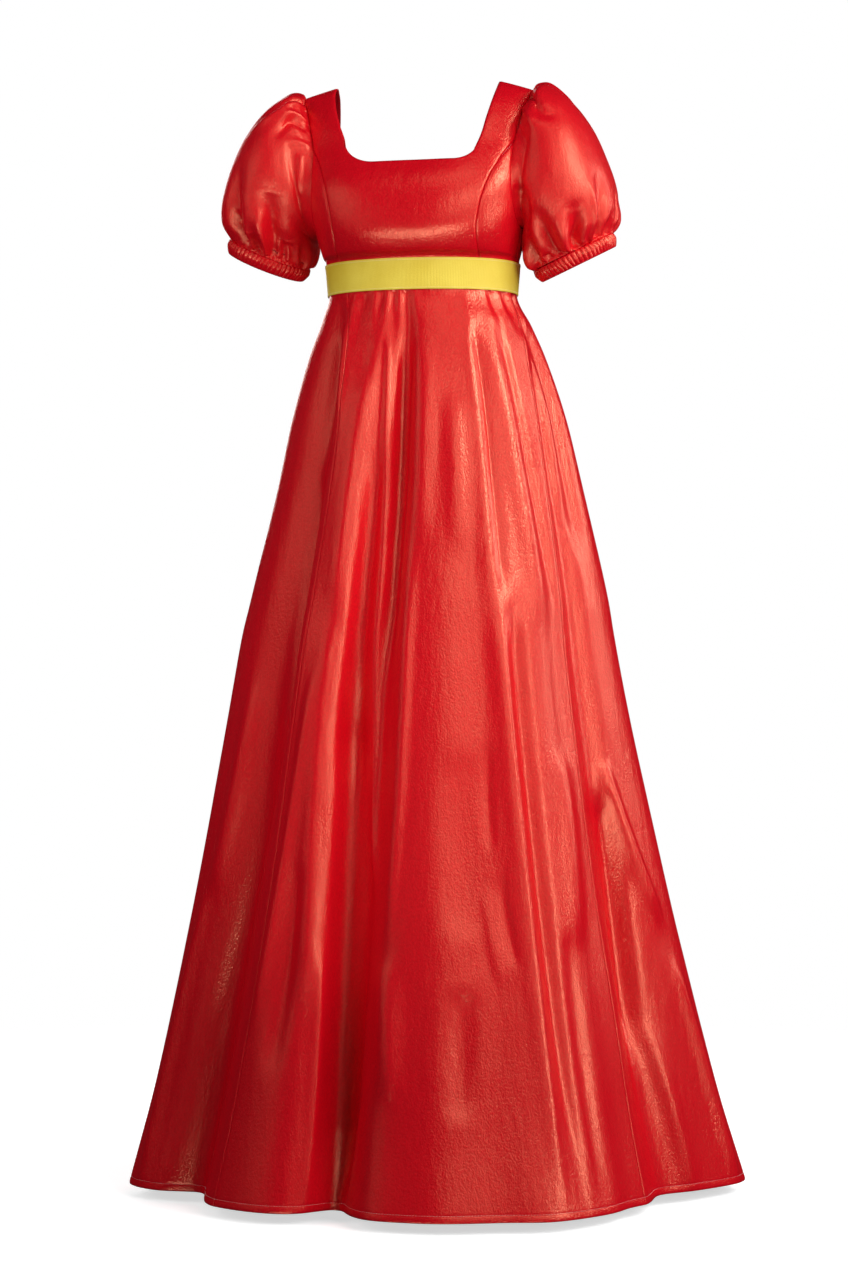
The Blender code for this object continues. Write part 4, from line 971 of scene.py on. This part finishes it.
# Creases of the sleeves: bearing round the sleeve and ring at three places,
# half width at both ends (mm), height at the three places (mm), lean.
# These lie on both sleeves, at the back and under the arm, and the next ones
# in front on each.
SLEEVE_CREASES = [
    (160, 8.8, 158, 7.4, 154, 6.2, 5, 10, -2, -5, -2, 0),
    (186, 8.9, 188, 7.8, 190, 7.0, 4, 8, -2, -4, -2, 0),
    (212, 8.8, 208, 7.2, 202, 6.0, 5, 11, -2, -6, -3, 0),
    (236, 8.9, 238, 7.6, 243, 6.4, 4, 9, -2, -5, -2, 0),
    (262, 8.8, 258, 7.0, 252, 5.4, 4, 11, -2, -6, -3, 0),
    (288, 8.9, 290, 7.7, 294, 6.8, 4, 8, -2, -4, -2, 0),
    (312, 8.8, 310, 7.1, 306, 5.8, 5, 11, -2, -6, -3, 0),
    (338, 8.9, 340, 7.5, 344, 6.3, 4, 9, -2, -5, -2, 0),
    (363, 8.8, 361, 7.2, 357, 6.0, 5, 10, -2, -5, -3, 0),
    (382, 8.9, 380, 7.8, 376, 7.0, 4, 8, -2, -4, -2, 0),
    (224, 8.8, 222, 7.4, 224, 6.2, 4, 7, 1, 3, 1, 0),
    (275, 8.8, 274, 7.4, 275, 6.2, 4, 7, 1, 3, 1, 0),
    (326, 8.8, 325, 7.4, 327, 6.2, 4, 7, 1, 3, 1, 0),
    (350, 0.2, 345, 1.6, 342, 3.0, 4, 9, -1.5, -3.5, -1, 0),
    (326, 0.2, 322, 1.2, 316, 2.2, 4, 8, -1.5, -3, -1, 0),
    (302, 0.3, 298, 1.3, 294, 2.6, 4, 8, -1, -3, -1, 0),
    (338, 0.2, 334, 1.4, 330, 2.6, 4, 7, 1.5, 3, 1, 0),
    (314, 0.2, 310, 1.2, 304, 2.0, 4, 7, 1, 2.5, 1, 0),
    (362, 0.2, 362, 1.5, 363, 2.8, 4, 8, 1.5, 3, 1, 0),
]
FRONT_SLEEVE_CREASES = {
    1: [
        (376, 0.3, 410, 1.35, 413, 2.7, 5, 9, -2, -4, -2, 0),
        (20, 0.2, 45, 0.9, 50, 1.5, 3, 3, 1, 1.8, 0.5, 0),
        (36, 0.3, 62, 1.0, 70, 2.0, 4, 8, 1, 2.5, 1, 0),
        (60, 0.2, 76, 0.6, 88, 1.2, 4, 7, -1, -2, -0.5, 0),
        (41, 8.9, 36, 7.2, 30, 5.6, 7, 13, -4, -8, -3, 0),
        (51, 8.9, 47, 7.2, 45, 5.6, 4, 7, 1, 3, 1, 0.3),
        (92, 8.9, 100, 7.1, 110, 5.4, 7, 12, -4, -8, -3, 0),
        (70, 8.9, 70, 7.5, 71, 6.2, 7, 13, -4, -9, -4, 0),
        (126, 8.8, 131, 7.3, 134, 6.0, 6, 13, -3, -8, -3, 0),
        (108, 8.9, 110, 8.3, 112, 7.8, 4, 6, -3, -4, -1, 0),
        (81, 8.9, 84, 7.7, 89, 6.4, 4, 9, 1, 3.5, 1, 0),
        (59, 8.9, 59, 7.8, 58, 6.8, 3, 6, 1, 3, 1, 0),
        (120, 1.5, 130, 3.5, 142, 5.6, 9, 11, -2, -4, -2, 0),
        (144, 8.8, 147, 7.6, 150, 6.6, 4, 7, 1, 3, 1, 0),
    ],
    -1: [
        (14, 0.3, 30, 1.6, 34, 3.2, 4, 9, -1.5, -4.5, -1, 0),
        (22, 0.4, 46, 1.8, 42, 3.4, 4, 8, 1.5, 4, 1, 0.3),
        (41, 0.3, 52, 1.2, 60, 2.2, 3, 6, 2, 2.8, 0.5, 0),
        (53, 0.4, 61, 1.4, 71, 2.5, 4, 10, -2, -4.5, -1, 0),
        (70, 0.3, 76, 0.9, 80, 1.5, 3, 6, 1, 1.5, 0.5, 0),
        (84, 0.55, 97, 0.65, 114, 0.75, 3, 3, 1, 2.6, 1, 0),
        (74, 8.4, 68, 6.6, 57, 5.0, 7, 13, -3, -8, -3, 0),
        (73, 8.8, 68, 7.4, 61, 6.5, 4, 9, -2, -5, -2, 0),
        (76, 7.9, 71, 6.7, 60, 5.9, 3, 6, 1, 3, 1, 0),
        (126, 7.2, 113, 5.6, 102, 4.0, 11, 17, -3, -8, -2, 0),
        (103, 8.7, 99, 6.7, 96, 5.3, 5, 9, 1, 4.5, 1, 0.2),
        (110, 8.9, 110, 7.5, 108, 6.2, 6, 9, -4, -6, -2, 0),
        (126, 8.9, 129, 7.7, 133, 6.6, 7, 13, -4, -8, -3, 0),
        (140, 8.8, 141, 7.5, 140, 6.5, 5, 9, -2, -4, -2, 0),
        (91, 8.9, 89, 7.9, 87, 7.0, 7, 11, -4, -7, -2, 0),
        (82, 8.9, 80, 7.8, 79, 6.8, 3, 6, 1, 3, 1, 0),
        (131, 8.9, 133, 7.8, 134, 6.9, 3, 6, 1, 3, 1, 0),
    ],
}


def sleeve_place(rings):
    """Gives the points on a sleeve's form at bearings round it and rings."""
    def place(bearing, ring):
        form = curve_at(rings.reshape(len(rings), -1), ring).reshape(len(ring), SLEEVE_COLUMNS, 3)
        column = np.asarray(bearing) / 360.0 * SLEEVE_COLUMNS
        first = np.floor(column).astype(int)
        rows, share = np.arange(len(ring)), (column - first)[:, None]
        return (form[rows, first % SLEEVE_COLUMNS] * (1 - share)
                + form[rows, (first + 1) % SLEEVE_COLUMNS] * share)
    return place


def sleeve(side):
    """A puff sleeve's grid: its form, large folds and creases, then gathers and softness."""
    rings, v = sleeve_rings(side), SLEEVE_ROWS
    cuff_seed, cap_seed, soft_seed = SEEDS[side]
    form = curve_at(rings.reshape(len(rings), -1), v).reshape(len(v), SLEEVE_COLUMNS, 3)
    normals = -grid_normals(form, closed=True)
    turn = (360.0 * np.arange(SLEEVE_COLUMNS) / SLEEVE_COLUMNS)[None, :]
    creases = SLEEVE_CREASES + FRONT_SLEEVE_CREASES[side]
    ends = smooth(0.0, 0.3, v) * smooth(LAST_RING, LAST_RING - 0.15, v)
    hand = CREASE_SHARE * crease_relief(form, normals, sleeve_place(rings), creases) * ends[:, None]
    grid = form + normals * (FOLD_SHARE * fold_relief(turn, v[:, None]) + hand)[..., None]
    normals = -grid_normals(grid, closed=True)
    from_cap = 1000.0 * line_length(grid)
    from_cuff = from_cap[-1:] - from_cap
    top = np.maximum(np.cos(np.radians(away_from(CAP_CENTRE, turn)) * CAP_NARROWING), 0.0) ** 2
    relief = (gather_relief(turn, from_cuff, CUFF_GATHERS, cuff_seed)
              + top * gather_relief(turn, from_cap, CAP_GATHERS, cap_seed)
              + uneven_cloth(grid, SLEEVE_UNEVEN, soft_seed)
              * smooth(0.0, SEAM_FADE_MM, from_cap) * smooth(0.0, SEAM_FADE_MM, from_cuff))
    points = grid + normals * (relief * smooth(0.0, 2.0, from_cap))[..., None]
    return np.concatenate([swayed(ARMHOLE_TUCK, side)[None], points]) * (side, 1.0, 1.0)


def cuff(side):
    """Gathered casing over elastic: close ribs between two rolled edges."""
    ox, oz, ix, iz, _, _, y, _ = SLEEVE[LAST_RING]
    shift, lift = SLEEVE_HANG[side]
    axis = unit(np.array(CUFF_AXIS[side]))
    along = unit(np.array((ox - ix, 0.0, oz - iz)))
    ahead = unit(np.cross(axis, along))
    ahead = ahead * (-1.0 if ahead[1] > 0 else 1.0)
    middle = np.array(((ox + ix) / 2 + shift, y, (oz + iz) / 2 + lift))
    columns = CUFF_RIBS * RIB_COLUMNS
    a = 2.0 * math.pi * np.arange(columns) / columns
    turn = a * CUFF_RIBS / (2 * math.pi)         # counted in ribs
    rows = []
    for s in CUFF_ROWS:
        r_along, r_ahead = (np.interp(s, CUFF[:, 0], CUFF[:, c]) for c in (1, 2))
        roll = CUFF_ROLL * (math.exp(-max(s, 0.0) / CUFF_ROLL_REACH) + math.exp(-(1 - s) / CUFF_ROLL_REACH))
        tucked = CUFF_TUCK * smooth(0.03, -0.06, s)
        slant = turn + RIB_SLANT * s + RIB_WANDER * np.sin(0.7 * turn + 3.0 * s)
        wave = np.abs(np.cos(math.pi * slant)) ** RIB_POINT
        height = CUFF_RIB_HEIGHT * (1.0 + RIB_VARY * np.sin(1.3 * turn)) * (wave - RIB_MIDDLE)
        height = height * smooth(-0.06, 0.06, s)
        r = CUFF_CROWN * math.sin(math.pi * max(s, 0.0)) - roll - tucked + height
        centre = middle + axis * (s * CUFF_DEPTH)
        rows.append(centre + along * ((r_along + r) * np.cos(a))[:, None]
                    + ahead * ((r_ahead + r) * np.sin(a))[:, None])
    return np.array(rows) * (side, 1.0, 1.0)


# ---------------------------------------------------------------- finishes
def srgb(code):
    """A six-figure sRGB hex colour as linear red, green, blue and alpha."""
    parts = [int(code[i:i + 2], 16) / 255.0 for i in (0, 2, 4)]
    return (*[v / 12.92 if v <= 0.04045 else ((v + 0.055) / 1.055) ** 2.4 for v in parts], 1.0)


def node(tree, kind, settings=None, **links):
    """Adds a node with its settings; links map its inputs to sockets or values."""
    made = tree.nodes.new(kind)
    for key, value in (settings or {}).items():
        setattr(made, key, value)
    for key, value in links.items():
        numbered = key[0] == "i" and key[1:].isdigit()
        socket = made.inputs[int(key[1:]) if numbered else key.replace("_", " ")]
        if isinstance(value, bpy.types.NodeSocket):
            tree.links.new(value, socket)
        else:
            socket.default_value = value
    return made


def new_material(name, **sockets):
    """A material with even values set on its shader's own sockets."""
    material = bpy.data.materials.new(name)
    material.use_nodes = True
    shader = material.node_tree.nodes["Principled BSDF"]
    for key, value in sockets.items():
        shader.inputs[key.replace("_", " ")].default_value = value
    return material, material.node_tree, shader


def cloth_noise(tree, *layers):
    """Smooth noise held in the cloth: each layer's cell (mm), detail and roughness."""
    place = node(tree, "ShaderNodeTexCoord").outputs["Object"]
    made = []
    for cell_mm, detail, roughness in layers:
        cells = node(tree, "ShaderNodeMapping", Vector=place, Scale=tuple(1000.0 / mm for mm in cell_mm))
        made.append(node(tree, "ShaderNodeTexNoise", Vector=cells.outputs["Vector"], Scale=1.0,
                         Detail=detail, Roughness=roughness).outputs["Fac"])
    return made


def satin(name, shine, roughness, reds):
    """Polyester satin.

    Its face is long filament floats that lie almost flat, so it shines in
    soft bands; its back shows the short tie threads and is duller.  The real
    threads are 0.1 mm apart: the grain is drawn 2 mm wide to show at all.
    """
    material, tree, shader = new_material(name, Roughness=roughness, IOR=2.0, Specular_IOR_Level=shine,
                                          Specular_Tint=srgb("FFAE88"))
    grain, pull, drift = cloth_noise(tree, ((2.0, 2.0, 3.2), 2.0, 0.6), ((10, 10, 45), 2.0, 0.5),
                                     ((70, 70, 110), 3.0, 0.5))
    red = node(tree, "ShaderNodeMix", {"data_type": "RGBA"}, Factor=drift, i6=srgb(reds[0]), i7=srgb(reds[1]))
    shade = node(tree, "ShaderNodeMapRange", Value=grain, From_Min=0.3, From_Max=0.7,
                 To_Min=0.86, To_Max=1.1).outputs["Result"]
    tone = node(tree, "ShaderNodeVectorMath", {"operation": "SCALE"}, i0=red.outputs[2], Scale=shade)
    tree.links.new(tone.outputs[0], shader.inputs["Base Color"])
    wavy = node(tree, "ShaderNodeBump", Strength=1.0, Distance=0.0007, Height=pull).outputs["Normal"]
    fine = node(tree, "ShaderNodeBump", Strength=1.0, Distance=0.0005, Height=grain, Normal=wavy)
    tree.links.new(fine.outputs["Normal"], shader.inputs["Normal"])
    return material


def ribbon():
    """Grosgrain ribbon, woven with a thick weft.

    Its close cross ribs are drawn 2 mm apart to show, and they give a dull,
    even sheen.
    """
    material, tree, shader = new_material("yellow_grosgrain_ribbon", Roughness=0.46, Specular_IOR_Level=0.5)
    drift, fleck = cloth_noise(tree, ((45, 45, 60), 3.0, 0.5), ((1.6, 1.6, 0.9), 2.0, 0.5))
    place = node(tree, "ShaderNodeTexCoord").outputs["Object"]
    parts = node(tree, "ShaderNodeSeparateXYZ", Vector=place).outputs
    turn = node(tree, "ShaderNodeMath", {"operation": "ARCTAN2"}, i0=parts["X"], i1=parts["Y"]).outputs[0]
    turn = node(tree, "ShaderNodeMath", {"operation": "MULTIPLY"}, i0=turn, i1=float(RIBBON_RIBS)).outputs[0]
    ribs = node(tree, "ShaderNodeMath", {"operation": "SINE"}, i0=turn).outputs[0]
    both = node(tree, "ShaderNodeMath", {"operation": "MULTIPLY_ADD"}, i0=fleck, i1=0.45, i2=drift).outputs[0]
    share = node(tree, "ShaderNodeMapRange", Value=both, From_Min=0.5, From_Max=0.95, To_Min=0.0, To_Max=1.0)
    tone = node(tree, "ShaderNodeMix", {"data_type": "RGBA"}, Factor=share.outputs["Result"],
                i6=srgb("DDBE33"), i7=srgb("EBD24E"))
    tree.links.new(tone.outputs[2], shader.inputs["Base Color"])
    height = node(tree, "ShaderNodeMath", {"operation": "MULTIPLY_ADD"}, i0=ribs, i1=0.3, i2=fleck).outputs[0]
    bump = node(tree, "ShaderNodeBump", Strength=1.0, Distance=0.00025, Height=height)
    tree.links.new(bump.outputs["Normal"], shader.inputs["Normal"])
    return material


def thread(name, code):
    """Spun polyester sewing thread.

    Its twisted strands, drawn 0.6 mm apart to show, are soft and slightly shiny.
    """
    material, tree, shader = new_material(name, Roughness=0.42)
    twist, = cloth_noise(tree, ((0.6, 0.6, 0.6), 1.0, 0.5))
    tone = node(tree, "ShaderNodeMix", {"data_type": "RGBA"}, Factor=twist, i6=srgb(code), i7=srgb("FFFFFF"))
    tone.inputs[0].default_value = 0.1
    tree.links.new(tone.outputs[2], shader.inputs["Base Color"])
    bump = node(tree, "ShaderNodeBump", Strength=0.5, Distance=0.0001, Height=twist)
    tree.links.new(bump.outputs["Normal"], shader.inputs["Normal"])
    return material


# ---------------------------------------------------------------- dressing
STITCH_LONG, STITCH_THICK, STITCH_LIFT = 0.0022, 0.0004, 0.0001
RIBBON_STITCH_PITCH, HEM_STITCH_PITCH = 0.0030, 0.0036
# A stitch's faces, by its points: two ends, then three round it near each end
STITCH_FACES = [(0, 3, 2), (0, 4, 3), (1, 5, 6), (1, 6, 7),
                (2, 3, 6, 5), (3, 4, 7, 6), (0, 2, 5, 1), (0, 1, 7, 4)]


def stitch_row(name, line, outward, pitch, finish):
    """Small raised stitches along a line in the cloth."""
    total = line_length(line)[-1]
    count = max(2, int(total / pitch))
    at = (np.arange(count) + 0.5) * total / count
    centre, out = along_line(line, line, at), unit(along_line(line, outward, at))
    run = unit(along_line(line, np.gradient(line, axis=0), at))
    side, up, half = unit(np.cross(out, run)) * STITCH_THICK / 2, out * STITCH_THICK, run * STITCH_LONG / 2
    corners = [centre - half - up * 0.4, centre + half - up * 0.4]
    for f in (-0.7, 0.7):
        corners += [centre + half * f + side + up * 0.2, centre + half * f + up * 0.8,
                    centre + half * f - side + up * 0.2]
    points = np.stack(corners, axis=1).reshape(-1, 3)
    faces = [[len(corners) * n + corner for corner in face] for n in range(count) for face in STITCH_FACES]
    return add_mesh(name, points, faces, [finish])


def main():
    reds = ("DE051D", "D6031A")
    face = satin("red_polyester_satin_face", 1.0, 0.26, reds)
    # gathering puckers the weave, so the sleeves throw a wider, softer shine
    puckered = satin("red_polyester_satin_gathered", 0.8, 0.36, reds)
    back = satin("red_polyester_satin_back", 0.5, 0.52, ("B80A1E", "A8061A"))
    yellow = ribbon()
    red_thread = thread("red_sewing_thread", "C4242A")
    yellow_thread = thread("yellow_sewing_thread", "F4E27A")

    def dress(kind, points, side="", closed=False):
        """Makes one cut piece in place of its solid."""
        slot, wall, finishes = "satin", SATIN_WALL, [face, back]
        if kind == "waist_band":
            slot, wall, finishes = "ribbon", RIBBON_WALL, [yellow]
        if kind == "sleeve":
            finishes = [puckered, back]
        piece = add_cloth("worn_" + kind + side, points, wall, finishes, closed)
        piece.visible_glossy = slot == "satin"   # the ribbon would tint the satin's shine
        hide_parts(kind + side)

    dress("bodice_front", bodice_front())
    for side in (1, -1):
        word = "_" + SIDE_NAME[side]
        dress("bodice_side_front", bodice_side_front(side), word)
        dress("bodice_back", bodice_back(side), word)
        dress("sleeve", sleeve(side), word, closed=True)
        dress("cuff", cuff(side), word, closed=True)
    band = waist_band()
    outward = -grid_normals(band)
    rows = [stitch_row("band_stitches_" + edge, band[r] + outward[r] * STITCH_LIFT, outward[r],
                       RIBBON_STITCH_PITCH, yellow_thread) for edge, r in (("lower", 2), ("upper", -3))]
    dress("waist_band", band)
    for kind, word, first, last in (("skirt_front", "", "right_seam", "left_seam"),
                                    ("skirt_back", "_left", "left_seam", "closure"),
                                    ("skirt_back", "_right", "closure", "right_seam")):
        points, heights = skirt_panel(first, last)
        r = int(np.argmin(np.abs(heights - (HEM_Z + 0.001 * HEM_STITCH_MM))))
        row = stitch_row("hem_stitches_" + kind + word, points[r], grid_normals(points)[r], HEM_STITCH_PITCH,
                         red_thread)
        dress(kind, points, word)


# ------------------------------------------------------------------ studio
# The camera: bearing, distance from the gown's axis and height, lens (mm),
# tilt from straight down and turn off the axis (degrees)
CAMERA_BEARING, CAMERA_AWAY, CAMERA_Z, CAMERA_LENS = 15.0, 4.3, -0.747, 94.2
CAMERA_TILT, CAMERA_TURN = 90.485, -0.061
MID_GOWN_Z, UPPER_GOWN_Z = -0.75, -0.2
# Soft lights: bearing, height, distance, (width, height), watts, height aimed at
LIGHTS = {
    "key": (72, 1.25, 3.0, (1.0, 1.8), 46.0, MID_GOWN_Z),
    "key low": (74, -0.62, 3.0, (0.8, 0.5), 8.0, MID_GOWN_Z),
    "second": (-60, 0.95, 3.2, (0.5, 1.6), 1.8, MID_GOWN_Z),
    "side": (116, 0.3, 3.0, (0.6, 1.7), 17.0, MID_GOWN_Z),
    "front": (26, 0.85, 3.3, (1.6, 1.3), 8.0, MID_GOWN_Z),
    "overhead": (14, 2.9, 2.6, (2.4, 1.0), 7.0, UPPER_GOWN_Z),
    "low": (4, -2.84, 6.0, (8.2, 0.5), 130.0, UPPER_GOWN_Z),
    "far side": (-148, 0.6, 3.2, (0.8, 2.0), 14.0, MID_GOWN_Z),
}
# Fills, which light the cloth but don't show in its shine: bearing, watts
FILLS = ((48, 80.0), (-48, 44.0), (-122, 32.0), (180, 42.0))
FILL_HEIGHT, FILL_AWAY, FILL_SIZE = 0.6, 3.6, (2.0, 2.4)
ROOM_LIGHT = 0.012
FLOOR_RADIUS, FLOOR_GAP = 2.2, 0.015             # the hem hangs clear of the floor
FLOOR_FADE_FROM, FLOOR_FADE_TO = 0.8, 2.1


def softbox(name, bearing, height, distance, size, watts, aim_z):
    """A large soft light at a bearing round the gown, aimed at its axis."""
    a = math.radians(bearing)
    place = Vector((distance * math.sin(a), -distance * math.cos(a), height))
    light = bpy.data.lights.new(name, "AREA")
    light.shape = "ELLIPSE"
    light.size, light.size_y = size
    light.energy = watts
    holder = bpy.data.objects.new(name, light)
    holder.location = place
    holder.rotation_euler = (Vector((0.0, 0.0, aim_z)) - place).to_track_quat("-Z", "Y").to_euler()
    holder.visible_camera = False
    bpy.context.scene.collection.objects.link(holder)
    return holder


def camera():
    lens = bpy.data.cameras.new("camera")
    lens.lens = CAMERA_LENS
    eye = bpy.data.objects.new("camera", lens)
    a = math.radians(CAMERA_BEARING)
    eye.location = (math.sin(a) * CAMERA_AWAY, -math.cos(a) * CAMERA_AWAY, CAMERA_Z)
    eye.rotation_euler = (math.radians(CAMERA_TILT), 0.0, math.radians(CAMERA_BEARING + CAMERA_TURN))
    bpy.context.scene.collection.objects.link(eye)
    bpy.context.scene.camera = eye


def room():
    """A white room to look at, which adds only a little light of its own."""
    world = bpy.data.worlds.new("studio")
    bpy.context.scene.world = world
    world.use_nodes = True
    tree = world.node_tree
    lit = tree.nodes["Background"]
    lit.inputs["Color"].default_value = (1, 1, 1, 1)
    lit.inputs["Strength"].default_value = ROOM_LIGHT
    seen = node(tree, "ShaderNodeBackground", Color=(1, 1, 1, 1), Strength=1.0)
    is_camera = node(tree, "ShaderNodeLightPath").outputs["Is Camera Ray"]
    mix = node(tree, "ShaderNodeMixShader", i0=is_camera, i1=lit.outputs[0], i2=seen.outputs[0])
    tree.links.new(mix.outputs[0], tree.nodes["World Output"].inputs["Surface"])


def floor():
    """A pale disc under the hem that takes its shadow and fades out into the room."""
    bm = bmesh.new()
    bmesh.ops.create_circle(bm, cap_ends=True, segments=96, radius=FLOOR_RADIUS)
    mesh = bpy.data.meshes.new("floor")
    bm.to_mesh(mesh)
    bm.free()
    disc = bpy.data.objects.new("floor", mesh)
    disc.location = (0, 0, HEM_Z - FLOOR_GAP)
    disc.visible_diffuse = False
    disc.visible_glossy = False
    bpy.context.scene.collection.objects.link(disc)
    material, tree, shader = new_material("white_floor", Base_Color=(0.8, 0.8, 0.8, 1), Roughness=0.8,
                                          Emission_Color=(1, 1, 1, 1), Emission_Strength=0.62)
    place = node(tree, "ShaderNodeTexCoord").outputs["Object"]
    away = node(tree, "ShaderNodeVectorMath", {"operation": "LENGTH"}, i0=place).outputs["Value"]
    fade = node(tree, "ShaderNodeMapRange", {"interpolation_type": "SMOOTHSTEP"}, Value=away,
                From_Min=FLOOR_FADE_FROM, From_Max=FLOOR_FADE_TO, To_Min=0.0, To_Max=1.0).outputs["Result"]
    clear = node(tree, "ShaderNodeBsdfTransparent")
    blend = node(tree, "ShaderNodeMixShader", i0=fade, i1=shader.outputs[0], i2=clear.outputs[0])
    tree.links.new(blend.outputs[0], tree.nodes["Material Output"].inputs["Surface"])
    mesh.materials.append(material)


def studio():
    bpy.context.scene.view_settings.view_transform = "Standard"
    camera()
    room()
    for name, values in LIGHTS.items():
        softbox(name, *values)
    for bearing, watts in FILLS:
        fill = softbox("fill %d" % bearing, bearing, FILL_HEIGHT, FILL_AWAY, FILL_SIZE, watts, MID_GOWN_Z)
        fill.visible_glossy = False
    floor()


main()
studio()
